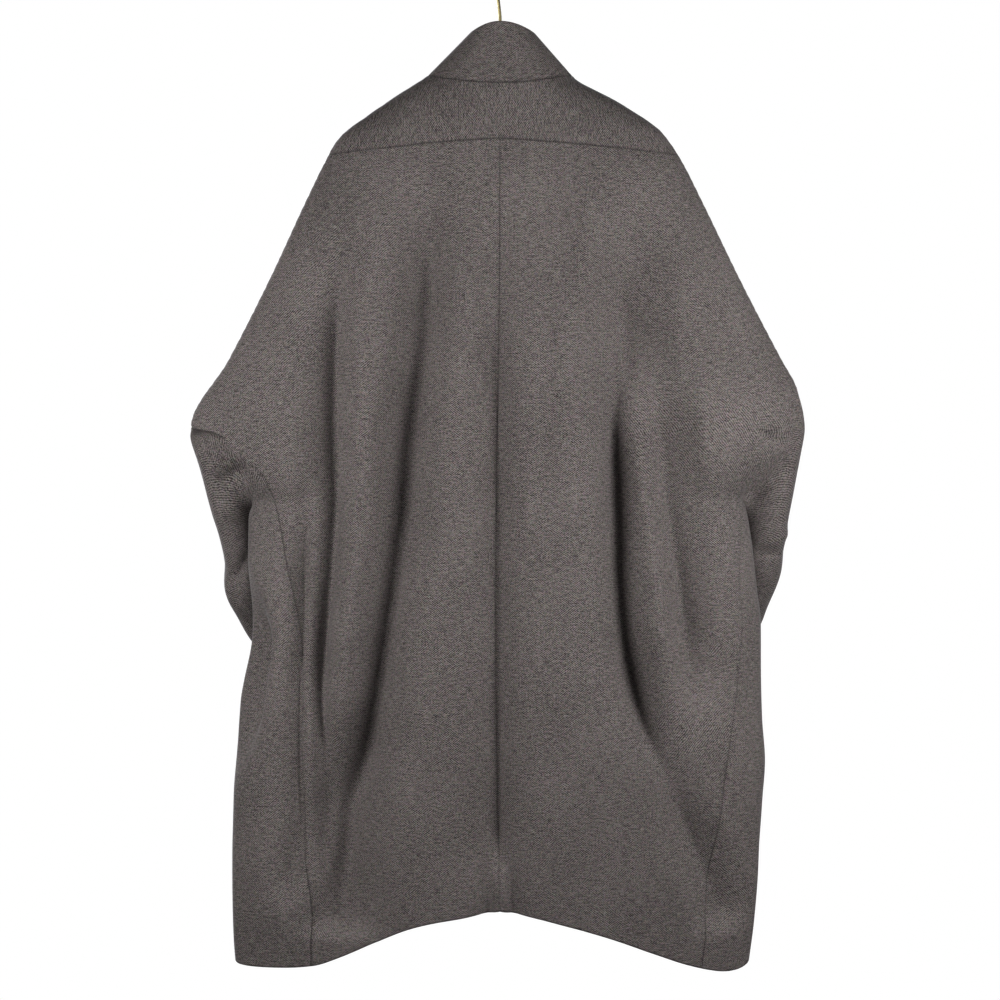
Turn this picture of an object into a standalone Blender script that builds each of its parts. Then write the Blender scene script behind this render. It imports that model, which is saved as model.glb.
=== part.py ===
"""Cocoon jacket in padded wool with dolman sleeves, hanging on a coat hanger.

The jacket's back faces -Y, its front +Y, and +Z is up. The wearer's left is -X. The origin is
where the rail bears on the hanger's hook. Every cloth panel starts as a flat slab of unit size
and is then laid on the jacket's form, which is a stack of flattened rings worked out from the
tables below. A drop is a distance below the rail and a reach a distance from the centre line.
"""
import math

import bmesh
import bpy
import numpy as np
from mathutils import Matrix

MM = 0.001
LEFT, RIGHT = -1, 1
BACK, FRONT = -1, 1
QUARTER = math.pi / 2

# Driving sizes in millimetres.
WALL = 5.0                 # wool, thin down and lining together
SEAM_GAP = 0.3             # clear gap between sewn pieces
SIDE_GAP = 1.1             # the same at the side seams, whose edges twist
SLEEVE_GAP = 0.8           # lower sleeve below the folded edge it is set under
NECK_SIDE_DROP = 146.0     # neck point on the shoulder ridge
NECK_BACK_DIP = 12.8       # centre-back neck below the neck point
NECK_FRONT_DIP = 69.0      # centre-front neck below the neck point
YOKE_DROP = 230.0          # yoke seam at centre back
YOKE_END_DIP = 17.0        # how much lower the seam meets the shoulder ridge
FRONT_EDGE = 5.0           # front edge to centre line, leaving room for the zip chain
NECK_REACH = 91.5          # neck point to centre line

# Rows and columns of the panels; panels that meet share the rows or columns along their seam.
YOKE_ROWS, ARM_ROWS, MOUTH_ROWS, SIDE_ROWS = 4, 6, 6, 12
BACK_COLUMNS, FRONT_COLUMNS, SIDE_COLUMNS = 12, 10, 4
COLLAR_ROWS = 3
ZIP_ROWS = 25              # the fifth row lies on the neck line

COLLAR_TOP_REACH = {LEFT: 38.0, RIGHT: 44.0}
COLLAR_TOP_DEPTH = {BACK: 42.0, FRONT: 95.0}
COLLAR_TOP_SIDE_DROP = 92.0
COLLAR_TOP_RISE = {BACK: -12.5, FRONT: 48.0}

# Half width of the form: shoulder ridge, overarm seam to the elbow corner, then in to the
# underarm and down the side: (drop, reach).
OUTLINE = {
    LEFT: [(146, 91.5), (176, 138.5), (202, 176), (215, 194), (227, 206), (253, 221), (304, 246),
           (405, 293), (507, 345), (593, 393), (615, 387), (640, 366), (665, 339), (690, 315),
           (704, 319), (761, 320), (812, 319), (862, 322), (913, 333), (940, 337),
           (990, 338), (1040, 338), (1142, 340), (1243, 338), (1290, 334)],
    RIGHT: [(146, 91.5), (153, 99.5), (164, 121), (176, 144), (202, 186), (215, 203), (227, 213),
            (253, 230), (304, 256), (405, 305), (507, 358), (541, 376.6), (560, 380), (583, 381),
            (608, 376), (630, 361), (650, 339), (668, 319), (684, 308), (691, 311),
            (723, 317.5), (761, 322.5), (799, 326.5), (837, 331), (913, 331.5), (964, 333),
            (1015, 336.5), (1066, 333), (1116, 330), (1167, 329), (1218, 325), (1290, 314)],
}
# Folded edge of the upper sleeve from the elbow corner to the underarm: (drop, reach).
MOUTH = {
    LEFT: [(593, 393), (597, 375), (601, 357), (621, 340), (635, 325), (644, 318), (655, 315),
           (674, 312.5), (690, 315)],
    RIGHT: [(541, 376.6), (558, 374.6), (583, 372), (608, 368), (618, 363), (631, 349),
            (640, 334), (649, 321), (659, 309), (666, 305), (684, 308)],
}
# Side-back and side-front seams, from their start on the folded edge to the hem: (drop, reach).
SIDE_SEAM = {
    LEFT: [(636, 324), (646, 303), (671, 288), (705, 279), (748, 274), (789, 269), (856, 262),
           (927, 255), (1002, 254), (1085, 251), (1139, 248), (1182, 241), (1218, 238), (1290, 237)],
    RIGHT: [(666, 305), (683, 300), (710, 301), (766, 298.5), (795, 299), (841, 303), (889, 300),
            (938, 296), (993, 288), (1085, 279), (1163, 269), (1224, 259), (1290, 252)],
}
# Half depth of the form behind and before the shoulder ridge: (drop, depth).
DEPTH = {
    BACK: [(146, 52), (159, 56), (230, 66), (300, 76), (400, 86), (550, 96), (700, 102), (850, 104),
           (1000, 98), (1150, 84), (1290, 70)],
    FRONT: [(146, 60), (215, 70), (300, 80), (400, 90), (550, 98), (700, 104), (850, 106),
            (1000, 104), (1150, 96), (1290, 86)],
}
# Width that the inner columns of backs and fronts keep to: (drop, reach).
INNER_WIDTH = [(247, 214), (420, 255), (600, 262), (760, 256), (1000, 244), (1290, 230)]
# How square the rings are, 2 for an oval: (drop, exponent).
SQUARENESS = {
    BACK: [(146, 2.2), (250, 2.4), (550, 2.7), (690, 3.6), (900, 4.0), (1290, 4.2)],
    FRONT: [(146, 2.2), (250, 2.3), (550, 2.4), (690, 2.7), (900, 3.0), (1290, 3.2)],
}
# Hem line round half the jacket, turn 0 at centre back, 0.5 at the side, 1 at centre front:
# (turn, drop).
HEM = {
    LEFT: [(0, 1201), (0.04, 1209), (0.1, 1221), (0.15, 1239), (0.2, 1258), (0.25, 1271),
           (0.35, 1274), (0.5, 1270), (0.65, 1262), (0.8, 1232), (1, 1200)],
    RIGHT: [(0, 1201), (0.04, 1209), (0.1, 1224), (0.15, 1238), (0.2, 1253), (0.28, 1272),
            (0.36, 1279), (0.5, 1268), (0.65, 1262), (0.8, 1232), (1, 1200)],
}

# Hanging folds as troughs: (name, face, depth, half width, [(drop, x), ...]); each trough runs
# from its first to its last station and fades in and out along FOLD_FADE.
FOLD_FADE = 170.0
FOLDS = [
    ("centre back", BACK, 20, 24, [(236, -2), (700, -8), (1145, -5)]),
    ("left outer", BACK, 22, 24, [(330, -200), (503, -204), (700, -218), (893, -227), (1000, -234),
                                  (1085, -252)]),
    ("left inner", BACK, 36, 29, [(305, -86), (394, -81), (594, -113), (803, -141), (956, -173),
                                  (1048, -190), (1150, -225)]),
    ("right inner", BACK, 33, 28, [(320, 164), (413, 159), (557, 145), (684, 143), (811, 154),
                                   (921, 182), (1048, 227), (1140, 262)]),
    ("right slight", BACK, 5, 14, [(330, 58), (557, 50), (760, 40)]),
    ("front left", FRONT, 16, 26, [(340, -120), (640, -135), (900, -165), (1180, -205)]),
    ("front right", FRONT, 18, 28, [(330, 110), (600, 132), (880, 150), (1150, 215)]),
    ("front hem", FRONT, 8, 22, [(900, 70), (1080, 78), (1230, 85)]),
]
# Tucks pushed in at the side: (side, depth, middle y, half width, first drop, last drop).
TUCKS = [
    (LEFT, 40, -25, 28, 760, 1060),
    (RIGHT, 9, 14, 18, 1080, 1330),
]

# Lower sleeves from the elbow to the cuff. Each ring is an oval between an outer and an inner
# edge: (outer reach, outer drop, inner reach, inner drop, half thickness, forward, tilt).
SLEEVE = {
    LEFT: [
        (392, 616, 315, 702, 34, 28, 0),
        (386, 636, 312, 714, 40, 42, 10),
        (375, 681, 308, 729, 45, 58, 22),
        (363, 720, 301, 748, 48, 72, 30),
        (356, 757, 295, 770, 50, 88, 34),
        (357, 792, 288, 790, 50, 104, 38),
        (343, 823, 274, 808, 48, 121, 40),
        (325, 856, 254, 832, 46, 136, 40),
        (296, 886, 232, 858, 44, 148, 38),
    ],
    RIGHT: [
        (386, 577, 311, 697, 20, 18, 0),
        (388, 597, 310, 708, 30, 34, 6),
        (384, 628, 309, 719, 38, 48, 14),
        (378, 668, 307, 731, 45, 62, 22),
        (371, 708, 303, 744, 50, 76, 28),
        (366, 746, 299, 760, 51, 90, 33),
        (365, 767, 292, 778, 51, 105, 38),
        (351, 806, 278, 800, 48, 122, 41),
        (336, 843, 262, 826, 46, 137, 41),
        (300, 874, 238, 848, 44, 150, 38),
    ],
}

# Zip.
TAPE_WIDTH = 9.0
TAPE_THICK = 1.0
TAPE_CLEARANCE = 0.9
CHAIN_HALF_WIDTH = 3.0
CHAIN_RECESS = 1.0
CHAIN_BACK = 5.0
ZIP_COLLAR_SHARE = 0.07    # share of the zip's length that lies in the collar
SLIDER_SIZE = (8.5, 3.6, 11.0)
SLIDER_AT = 0.02           # place along the zip, from the collar's top
BAIL_RISE = 1.5            # pull's axis above the slider's face
BAIL_ROOM = 1.4
BAIL_THICK = 1.0
BAIL_HALF_WIDTH = 1.2
BAIL_HALF_LENGTH = 3.2
PULL_SIZE = (7.0, 1.4, 30.0)
PULL_WINDOW = (3.4, 4.6)
PULL_BAR = 1.6

# Hanger.
BAR_RADIUS = 7.0
BAR_CLEARANCE = 1.3
BAR_TIP_REACH = {LEFT: 180.0, RIGHT: 186.0}
BAR_MIDDLE = [(0, 131), (34, 133), (62, 139)]     # top line inside the neck: (reach, drop)
WIRE_RADIUS = 2.0
HOOK_RADIUS = 20.0
HOOK_START, HOOK_END = 192.0, -35.0               # angles of the hook's arc, in degrees
SHANK = [(0.6, 130.6), (0.6, 92), (0, 70), (-2.2, 50), (-8, 38), (-15.5, 28)]   # (x, drop)


def smooth(stations, at):
    """Value at each place on a smooth curve through (place, value) stations, level past its ends."""
    knots, values = np.array(stations, dtype=float).T
    steps = np.diff(knots)
    slopes = np.diff(values) / steps
    inner = (slopes[:-1] + slopes[1:]) / 2
    limit = 3 * np.minimum(np.abs(slopes[:-1]), np.abs(slopes[1:]))
    inner = np.where(slopes[:-1] * slopes[1:] > 0, np.clip(inner, -limit, limit), 0)
    tangents = np.concatenate([slopes[:1], inner, slopes[-1:]])
    place = np.clip(at, knots[0], knots[-1])
    i = np.clip(np.searchsorted(knots, place) - 1, 0, len(steps) - 1)
    t = (place - knots[i]) / steps[i]
    rise = values[i + 1] - values[i]
    ease = t * t * (3 - 2 * t)
    start = t * (1 - t) ** 2 * tangents[i] * steps[i]
    end = t * t * (t - 1) * tangents[i + 1] * steps[i]
    return values[i] + rise * ease + start + end


def reach(drop, side):
    """Half width of the ring at a drop."""
    return smooth(OUTLINE[side], drop)


def mouth_sweep(drop, side):
    """Sweep at which a ring ends on the folded edge."""
    return np.arcsin(np.clip(smooth(MOUTH[side], drop) / reach(drop, side), 0, 1))


def seam_sweep(drop, side):
    """Sweep at which a ring crosses a side seam."""
    return np.arcsin(np.clip(smooth(SIDE_SEAM[side], drop) / reach(drop, side), 0, 1))


def folds(x, drop, face):
    """Depth of the hanging folds at a place on one face."""
    depth = np.zeros_like(x)
    for _, on, deep, half, stations in FOLDS:
        if on != face:
            continue
        first, last = stations[0][0], stations[-1][0]
        fade = np.clip(np.minimum(drop - first, last - drop) / FOLD_FADE + 0.15, 0, 1)
        away = (x - smooth(stations, drop)) / half
        depth += deep * fade * fade * (3 - 2 * fade) * np.exp(-away ** 2)
    return depth


def tucks(y, drop, side):
    """How far the side is pushed in at a place."""
    depth = np.zeros_like(y)
    for on, deep, middle, half, first, last in TUCKS:
        if on != side:
            continue
        t = np.clip((drop - first) / (last - first), 0, 1)
        depth += deep * np.sin(np.pi * t) ** 2 * np.exp(-((y - middle) / half) ** 2)
    return depth


def form(drop, sweep, side, face):
    """Outer surface of the jacket; sweep runs from 0 at the centre line to a quarter at the side."""
    sine = np.sin(sweep)
    x = side * reach(drop, side) * sine
    deep = np.sqrt(np.clip(1 - np.abs(sine) ** smooth(SQUARENESS[face], drop), 0, 1))
    y = face * smooth(DEPTH[face], drop) * deep
    calm = 1 - np.abs(sine) ** 8
    return np.stack([x - side * tucks(y, drop, side),
                     y - face * folds(x, drop, face) * calm, -drop], axis=-1)


def neck(angle, face):
    """Drop of the neck line at an angle from the centre line."""
    dip = NECK_BACK_DIP if face == BACK else NECK_FRONT_DIP
    return NECK_SIDE_DROP + dip * np.cos(angle) ** 2


def neck_sweep(angle, side, face):
    """Sweep of the neck line at an angle from the centre line."""
    return np.arcsin(np.clip(NECK_REACH * np.sin(angle) / reach(neck(angle, face), side), 0, 1))


def mouth_drop(angle, side):
    """Drop on the folded edge at an angle from the elbow corner, half a turn at the underarm."""
    first, last = MOUTH[side][0][0], MOUTH[side][-1][0]
    return (first + last) / 2 - (last - first) / 2 * np.cos(angle)


def mouth_angle(drop, side):
    """Angle on the folded edge at a drop."""
    first, last = MOUTH[side][0][0], MOUTH[side][-1][0]
    return np.arccos(np.clip(((first + last) / 2 - drop) * 2 / (last - first), -1, 1))


def mouth_angles(side):
    """Angles on the folded edge shared by the panels above it and the lower sleeve."""
    tip = float(mouth_angle(np.array(SIDE_SEAM[side][0][0]), side))
    upper = np.linspace(0, tip, MOUTH_ROWS, endpoint=False)
    return np.concatenate([upper, np.linspace(tip, math.pi, SIDE_COLUMNS + 1)])


def yoke_seam(sweep):
    """Drop of the seam under the yoke."""
    return YOKE_DROP + YOKE_END_DIP * np.sin(sweep) ** 1.3


def hem(sweep, side, face):
    """Drop of the hem."""
    turn = sweep / math.pi if face == BACK else 1 - sweep / math.pi
    return smooth(HEM[side], turn)


def edge_sweep(drop, side):
    """Sweep at which a back or front panel ends: overarm seam, then folded edge, then side seam."""
    corner, tip = MOUTH[side][0][0], SIDE_SEAM[side][0][0]
    below = np.where(drop <= tip, mouth_sweep(drop, side), seam_sweep(drop, side))
    return np.where(drop <= corner, QUARTER, below)


def column_sweep(u, drop, side, first):
    """Sweep of a back's or front's column, from a first reach at u 0 to the panel's edge at u 1."""
    width = reach(drop, side)
    edge = width * np.sin(edge_sweep(drop, side))
    inner = smooth(INNER_WIDTH, drop)
    x = first + (inner - first) * np.sin(u * QUARTER) + (edge - inner) * u ** 3
    return np.arcsin(np.clip(x / width, 0, 1))


def seam_end(side, face):
    """Drop and sweep at which the side seam meets the hem."""
    drop = np.array(1260.0)
    for _ in range(30):
        drop = hem(edge_sweep(drop, side), side, face)
    return float(drop), float(edge_sweep(drop, side))


def outward(surface, a, b, sign):
    """Unit normal of a surface of two values, pointing out for the right sign."""
    step = 0.002
    span_a = surface(a + step * 100, b) - surface(a - step * 100, b)
    span_b = surface(a, np.minimum(b + step, QUARTER)) - surface(a, b - step)
    normal = sign * np.cross(span_a, span_b)
    return normal / np.linalg.norm(normal, axis=-1, keepdims=True)


def form_at(drop, sweep, side, face, depth):
    """Point of the form moved in by a depth."""
    def surface(a, b):
        return form(a, b, side, face)
    normal = outward(surface, drop, sweep, -side * face)
    return surface(drop, sweep) - depth[..., None] * normal


def sweep_step(drop, sweep, side, face, distance):
    """Change of sweep that moves a point a distance round its ring."""
    near = form(drop, sweep - 0.01, side, face)
    far = form(drop, np.minimum(sweep, QUARTER), side, face)
    return 0.01 * distance / np.linalg.norm(far - near, axis=-1)


def collar_at(height, sweep, side, face, depth):
    """Point of the collar: height 0 on the neck line and 1 at its top edge."""
    def surface(a, b):
        base = form(neck(b, face), neck_sweep(b, side, face), side, face)
        sine = np.sin(b)
        deep = np.sqrt(np.clip(1 - np.abs(sine) ** 2.2, 0, 1))
        top_drop = COLLAR_TOP_SIDE_DROP + COLLAR_TOP_RISE[face] * np.cos(b) ** 2
        top = np.stack([side * COLLAR_TOP_REACH[side] * sine,
                        face * COLLAR_TOP_DEPTH[face] * deep, -top_drop], axis=-1)
        share = (a / 100)[..., None]
        return base * (1 - share) + top * share
    up = height * 100
    normal = outward(surface, up, sweep, side * face)
    return surface(up, sweep) - depth[..., None] * normal


def clear_scene():
    """Removes what is in the scene."""
    for thing in list(bpy.data.objects):
        bpy.data.objects.remove(thing, do_unlink=True)


def make_collection(name):
    """New collection in the scene."""
    made = bpy.data.collections.new(name)
    bpy.context.scene.collection.children.link(made)
    return made


def make_material(name, colour, rough, metal):
    """Principled material."""
    made = bpy.data.materials.new(name)
    made.use_nodes = True
    shader = made.node_tree.nodes["Principled BSDF"]
    shader.inputs["Base Color"].default_value = (*colour, 1)
    shader.inputs["Roughness"].default_value = rough
    shader.inputs["Metallic"].default_value = metal
    return made


def slab(columns, rows):
    """Flat slab of unit size with one layer of cells: u across, v down, w into the cloth."""
    mesh = bmesh.new()
    bmesh.ops.create_grid(mesh, x_segments=columns, y_segments=rows, size=0.5)
    bmesh.ops.translate(mesh, verts=mesh.verts[:], vec=(0.5, 0.5, 0))
    lid = bmesh.ops.extrude_face_region(mesh, geom=mesh.faces[:], use_keep_orig=True)
    raised = [item for item in lid["geom"] if isinstance(item, bmesh.types.BMVert)]
    bmesh.ops.translate(mesh, verts=raised, vec=(0, 0, 1))
    return mesh


def finish(mesh, name, material, home):
    """Turns a shaped slab or solid into a named object."""
    bmesh.ops.recalc_face_normals(mesh, faces=mesh.faces[:])
    if mesh.calc_volume(signed=True) < 0:
        bmesh.ops.reverse_faces(mesh, faces=mesh.faces[:])
    data = bpy.data.meshes.new(name)
    mesh.to_mesh(data)
    mesh.free()
    made = bpy.data.objects.new(name, data)
    made.data.materials.append(material)
    home.objects.link(made)
    return made


def lay(name, columns, rows, place, material, home):
    """Lays a slab on the jacket: place gives the points in millimetres for u, v and w."""
    mesh = slab(columns, rows)
    flat = np.array([vert.co for vert in mesh.verts])
    points = place(flat[:, 0], flat[:, 1], flat[:, 2]) * MM
    for vert, point in zip(mesh.verts, points):
        vert.co = point
    return finish(mesh, name, material, home)


def edge_rows(first, side, face):
    """Shares of a panel's length for its rows, meeting those of its neighbours along its edge."""
    corner, tip, last = MOUTH[side][0][0], SIDE_SEAM[side][0][0], seam_end(side, face)[0]
    ridge = float(yoke_seam(np.array(QUARTER)))
    top = [] if face == BACK else np.linspace(first, ridge, YOKE_ROWS, endpoint=False)
    arm = np.linspace(ridge, corner, ARM_ROWS, endpoint=False)
    mouth = mouth_drop(mouth_angles(side)[:MOUTH_ROWS], side)
    below = np.linspace(tip, last, SIDE_ROWS + 1)
    drops = np.concatenate([top, arm, mouth, below])
    return (drops - first) / (last - first)


def spread(v, shares):
    """Row share for each place down a slab of equal rows."""
    return np.interp(v, np.linspace(0, 1, len(shares)), shares)


def both_faces(u, v, w, place):
    """Places points on the back for u below a half and on the front above it."""
    back = place(u, v, w, BACK)
    front = place(1 - u, v, w, FRONT)
    return np.where((u < 0.5)[:, None], back, front)


def back_place(side):
    """Placing of a back panel: u from centre back to its edge, v from the yoke seam to the hem."""
    first = float(yoke_seam(np.array(QUARTER)))
    shares = edge_rows(first, side, BACK)
    last = seam_end(side, BACK)[0]

    def place(u, v, w):
        top = yoke_seam(u * QUARTER)
        end = hem(column_sweep(u, np.full_like(u, last), side, 0), side, BACK)
        drop = top + (end - top) * spread(v, shares)
        drop = np.where(v < 0.001, drop + SEAM_GAP / 2, drop)
        sweep = column_sweep(u, drop, side, 0)
        inset = sweep_step(drop, sweep, side, BACK, SEAM_GAP / 2)
        sweep = np.where(u > 0.99, sweep - inset, np.where(u < 0.01, sweep + inset, sweep))
        return form_at(drop, sweep, side, BACK, w * WALL)
    return place


def front_place(side):
    """Placing of a front panel: u from the front edge to its side, v from the neck to the hem."""
    shares = edge_rows(NECK_SIDE_DROP, side, FRONT)
    last = seam_end(side, FRONT)[0]
    first_angle = math.asin(FRONT_EDGE / NECK_REACH)

    def place(u, v, w):
        down = spread(v, shares)
        angle = first_angle + u * (QUARTER - first_angle)
        top = neck(angle, FRONT) + SEAM_GAP / 2
        end = hem(column_sweep(u, np.full_like(u, last), side, FRONT_EDGE), side, FRONT)
        drop = top + (end - top) * down
        sweep = column_sweep(u, drop, side, FRONT_EDGE)
        ease = np.clip(down / 0.16, 0, 1)
        sweep = sweep + (neck_sweep(angle, side, FRONT) - sweep) * (1 - ease) ** 2
        inset = sweep_step(drop, sweep, side, FRONT, SEAM_GAP / 2)
        sweep = np.where(u > 0.99, sweep - inset, sweep)
        return form_at(drop, sweep, side, FRONT, w * WALL)
    return place


def side_place(side):
    """Placing of a side panel: u from the side-back to the side-front seam, v from underarm to hem."""
    tip, crotch = SIDE_SEAM[side][0][0], MOUTH[side][-1][0]
    tip_angle = float(mouth_angle(np.array(tip), side))

    def half(u, v, w, face):
        share = np.clip(2 * u, 0, 1)
        hem_sweep = seam_end(side, face)[1]
        top = mouth_drop(tip_angle + (math.pi - tip_angle) * share, side)
        end = hem(hem_sweep + (QUARTER - hem_sweep) * share, side, face)
        drop = top + (end - top) * v
        seam = seam_sweep(drop, side)
        rim = np.where(drop >= crotch, QUARTER, mouth_sweep(drop, side))
        ready = (mouth_angle(drop, side) - tip_angle) / (math.pi - tip_angle)
        sweep = seam + (rim - seam) * np.clip(share / np.clip(ready, 1e-6, 1), 0, 1)
        inset = sweep_step(drop, sweep, side, face, SIDE_GAP - SEAM_GAP / 2)
        sweep = np.where(u < 0.01, np.minimum(sweep + inset, rim), sweep)
        return form_at(drop, sweep, side, face, w * WALL)

    def place(u, v, w):
        return both_faces(u, v, w, half)
    return place


def yoke_place(u, v, w):
    """Placing of the yoke: u from the left to the right shoulder ridge, v from neck to yoke seam."""
    angle = np.abs(2 * u - 1) * QUARTER
    top, end = neck(angle, BACK) + SEAM_GAP / 2, yoke_seam(angle) - SEAM_GAP / 2
    drop = top + (end - top) * v
    points = []
    for side in (LEFT, RIGHT):
        start = neck_sweep(angle, side, BACK)
        sweep = start + (column_sweep(angle / QUARTER, drop, side, 0) - start) * v
        inset = sweep_step(drop, sweep, side, BACK, SEAM_GAP / 2)
        sweep = np.where(angle > QUARTER - 0.01, sweep - inset, sweep)
        points.append(form_at(drop, sweep, side, BACK, w * WALL))
    return np.where((u < 0.5)[:, None], points[0], points[1])


def collar_place(u, v, w):
    """Placing of the collar: u from the left front edge round the back to the right, v upward."""
    half = np.abs(2 * u - 1) * (BACK_COLUMNS + FRONT_COLUMNS)
    height = SEAM_GAP / 160 + v * (1 - SEAM_GAP / 160)
    points = np.zeros((len(u), 3))
    for side in (LEFT, RIGHT):
        width = NECK_REACH * (1 - height) + COLLAR_TOP_REACH[side] * height
        first = np.arcsin(FRONT_EDGE / width)
        back = np.clip(half / BACK_COLUMNS, 0, 1) * QUARTER
        front = QUARTER - np.clip((half - BACK_COLUMNS) / FRONT_COLUMNS, 0, 1) * (QUARTER - first)
        for face, angle in ((BACK, back), (FRONT, front)):
            here = collar_at(height, angle, side, face, w * WALL)
            mine = ((u < 0.5) == (side == LEFT)) & ((half <= BACK_COLUMNS) == (face == BACK))
            points[mine] = here[mine]
    return points


def front_line(x, along, side, depth):
    """Point of the collar's and the front's centre line at a small reach, moved in by a depth."""
    share = np.clip(along / ZIP_COLLAR_SHARE, 0, 1)
    width = NECK_REACH * share + COLLAR_TOP_REACH[side] * (1 - share)
    collar = collar_at(1 - share, np.arcsin(x / width), side, FRONT, depth)
    lower = np.clip((along - ZIP_COLLAR_SHARE) / (1 - ZIP_COLLAR_SHARE), 0, 1)
    start, end = NECK_SIDE_DROP + NECK_FRONT_DIP, HEM[side][-1][1] - 3
    drop = start + (end - start) * lower
    front = form_at(drop, np.arcsin(x / reach(drop, side)), side, FRONT, depth)
    lean = np.clip((along - ZIP_COLLAR_SHARE) * 1e6, -1, 1)[:, None]
    return (collar * (1 - lean) + front * (1 + lean)) / 2


def zip_rows(v):
    """Place along the zip for rows that meet the neck line."""
    return np.interp(v, [0, 0.2, 1], [0.004, ZIP_COLLAR_SHARE, 1])


def tape_place(side):
    """Placing of a zip tape behind a front edge."""
    def place(u, v, w):
        x = SEAM_GAP / 2 + u * (TAPE_WIDTH - SEAM_GAP / 2)
        return front_line(x, zip_rows(v), side, WALL + TAPE_CLEARANCE + w * TAPE_THICK)
    return place


def chain_place(u, v, w):
    """Placing of the closed chain in front of the tapes."""
    depth = CHAIN_RECESS + w * (CHAIN_BACK - CHAIN_RECESS)
    points = front_line(np.zeros_like(u), zip_rows(v), RIGHT, depth)
    points[:, 0] = (2 * u - 1) * CHAIN_HALF_WIDTH
    return points


def sleeve_rings(side, inset, around):
    """Rings of a lower sleeve from the folded edge to the cuff, each moved in by an inset."""
    drop = mouth_drop(around, side)
    sweep = mouth_sweep(drop, side)
    behind, before = form(drop, sweep, side, BACK), form(drop, sweep, side, FRONT)
    edge = np.where((around <= math.pi)[:, None], behind, before)
    slope = smooth(MOUTH[side], drop + 1) - smooth(MOUTH[side], drop - 1)
    away = np.stack([side * 2 + 0 * slope, 0 * slope, slope], axis=-1)
    edge = edge + SLEEVE_GAP * away / np.linalg.norm(away, axis=-1, keepdims=True)
    inward = edge.mean(axis=0) - edge
    rings = [edge + inset * inward / np.linalg.norm(inward, axis=-1, keepdims=True)]
    for out, out_drop, inn, inn_drop, thick, forward, tilt in SLEEVE[side]:
        middle = np.array([side * (out + inn) / 2, forward, -(out_drop + inn_drop) / 2])
        long = np.array([side * (out - inn) / 2, 0, -(out_drop - inn_drop) / 2])
        long = long * (1 - inset / np.linalg.norm(long))
        lean = math.radians(tilt)
        short = (thick - inset) * np.array([0, -math.cos(lean), -math.sin(lean)])
        rings.append(middle + long * np.cos(around)[:, None] + short * np.sin(around)[:, None])
    return np.array(rings)


def make_sleeve(name, side, material, home):
    """Lower sleeve as a tube between an outer and an inner run of rings."""
    half = mouth_angles(side)
    around = np.concatenate([half, 2 * math.pi - half[-2:0:-1]])
    segments = len(around)
    layers = [sleeve_rings(side, 0, around), sleeve_rings(side, WALL, around)]
    count = len(layers[0])
    mesh = bmesh.new()
    grid = [[[mesh.verts.new(point * MM) for point in ring] for ring in layer] for layer in layers]
    for i in range(segments):
        j = (i + 1) % segments
        for layer in grid:
            for k in range(count - 1):
                mesh.faces.new((layer[k][i], layer[k][j], layer[k + 1][j], layer[k + 1][i]))
        for k in (0, count - 1):
            mesh.faces.new((grid[0][k][i], grid[0][k][j], grid[1][k][j], grid[1][k][i]))
    return finish(mesh, name, material, home)


def make_box(name, size, centre, home):
    """Box of a size in millimetres."""
    mesh = bmesh.new()
    bmesh.ops.create_cube(mesh, size=1)
    bmesh.ops.scale(mesh, vec=[value * MM for value in size], verts=mesh.verts[:])
    bmesh.ops.translate(mesh, vec=[value * MM for value in centre], verts=mesh.verts[:])
    data = bpy.data.meshes.new(name)
    mesh.to_mesh(data)
    mesh.free()
    made = bpy.data.objects.new(name, data)
    home.objects.link(made)
    return made


def join_to(target, tools, operation):
    """Adds or cuts solids with exact booleans."""
    for tool in tools:
        step = target.modifiers.new(tool.name, "BOOLEAN")
        step.operation = operation
        step.solver = "EXACT"
        step.object = tool
        tool.hide_render = True


def slider_frame():
    """Place of the slider's axis on the zip and the lean of the zip there."""
    along = np.array([SLIDER_AT - 0.004, SLIDER_AT + 0.004])
    points = front_line(np.zeros(2), along, RIGHT, np.full(2, CHAIN_RECESS))
    lean = math.atan2(points[0][1] - points[1][1], points[0][2] - points[1][2])
    middle = points.mean(axis=0)
    return middle, lean


def make_slider(metal, home, tools):
    """Zip slider with its bail, lying on the chain, and the pull hanging from the bail."""
    wide, thick, tall = SLIDER_SIZE
    middle, lean = slider_frame()
    face = 0.3 + thick
    axis = face + BAIL_RISE
    top = axis + BAIL_ROOM + BAIL_THICK / 2
    body = make_box("zip_slider", SLIDER_SIZE, (0, 0.3 + thick / 2, 0), home)
    leg = (2 * BAIL_HALF_WIDTH, top - face + 1.5, BAIL_THICK)
    end = BAIL_HALF_LENGTH - BAIL_THICK / 2
    bail = [
        make_box("bail_up", leg, (0, face + leg[1] / 2 - 1, end), tools),
        make_box("bail_down", leg, (0, face + leg[1] / 2 - 1, -end), tools),
        make_box("bail_bridge", (2 * BAIL_HALF_WIDTH, BAIL_THICK, 2 * BAIL_HALF_LENGTH),
                 (0, top, 0), tools),
    ]
    turn = Matrix.Rotation(-lean, 4, "X")
    at = Matrix.Translation([0, middle[1] * MM, middle[2] * MM])
    for thing in [body] + bail:
        thing.data.transform(at @ turn)
    join_to(body, bail, "UNION")
    body.data.materials.append(metal)
    swing = at @ turn @ Matrix.Translation((0, axis * MM, 0))
    return swing.translation


def make_pull(pivot, metal, home, tools):
    """Pull tab hanging from the bail, with a window for it."""
    wide, thick, long = PULL_SIZE
    tab = make_box("zip_pull", PULL_SIZE, (0, 0, PULL_BAR / 2 - long / 2), home)
    window = make_box("pull_window", (PULL_WINDOW[0], 4 * thick, PULL_WINDOW[1]),
                      (0, 0, -PULL_BAR / 2 - PULL_WINDOW[1] / 2), tools)
    for thing in (tab, window):
        thing.data.transform(Matrix.Translation(pivot))
    join_to(tab, [window], "DIFFERENCE")
    tab.data.materials.append(metal)


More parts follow.
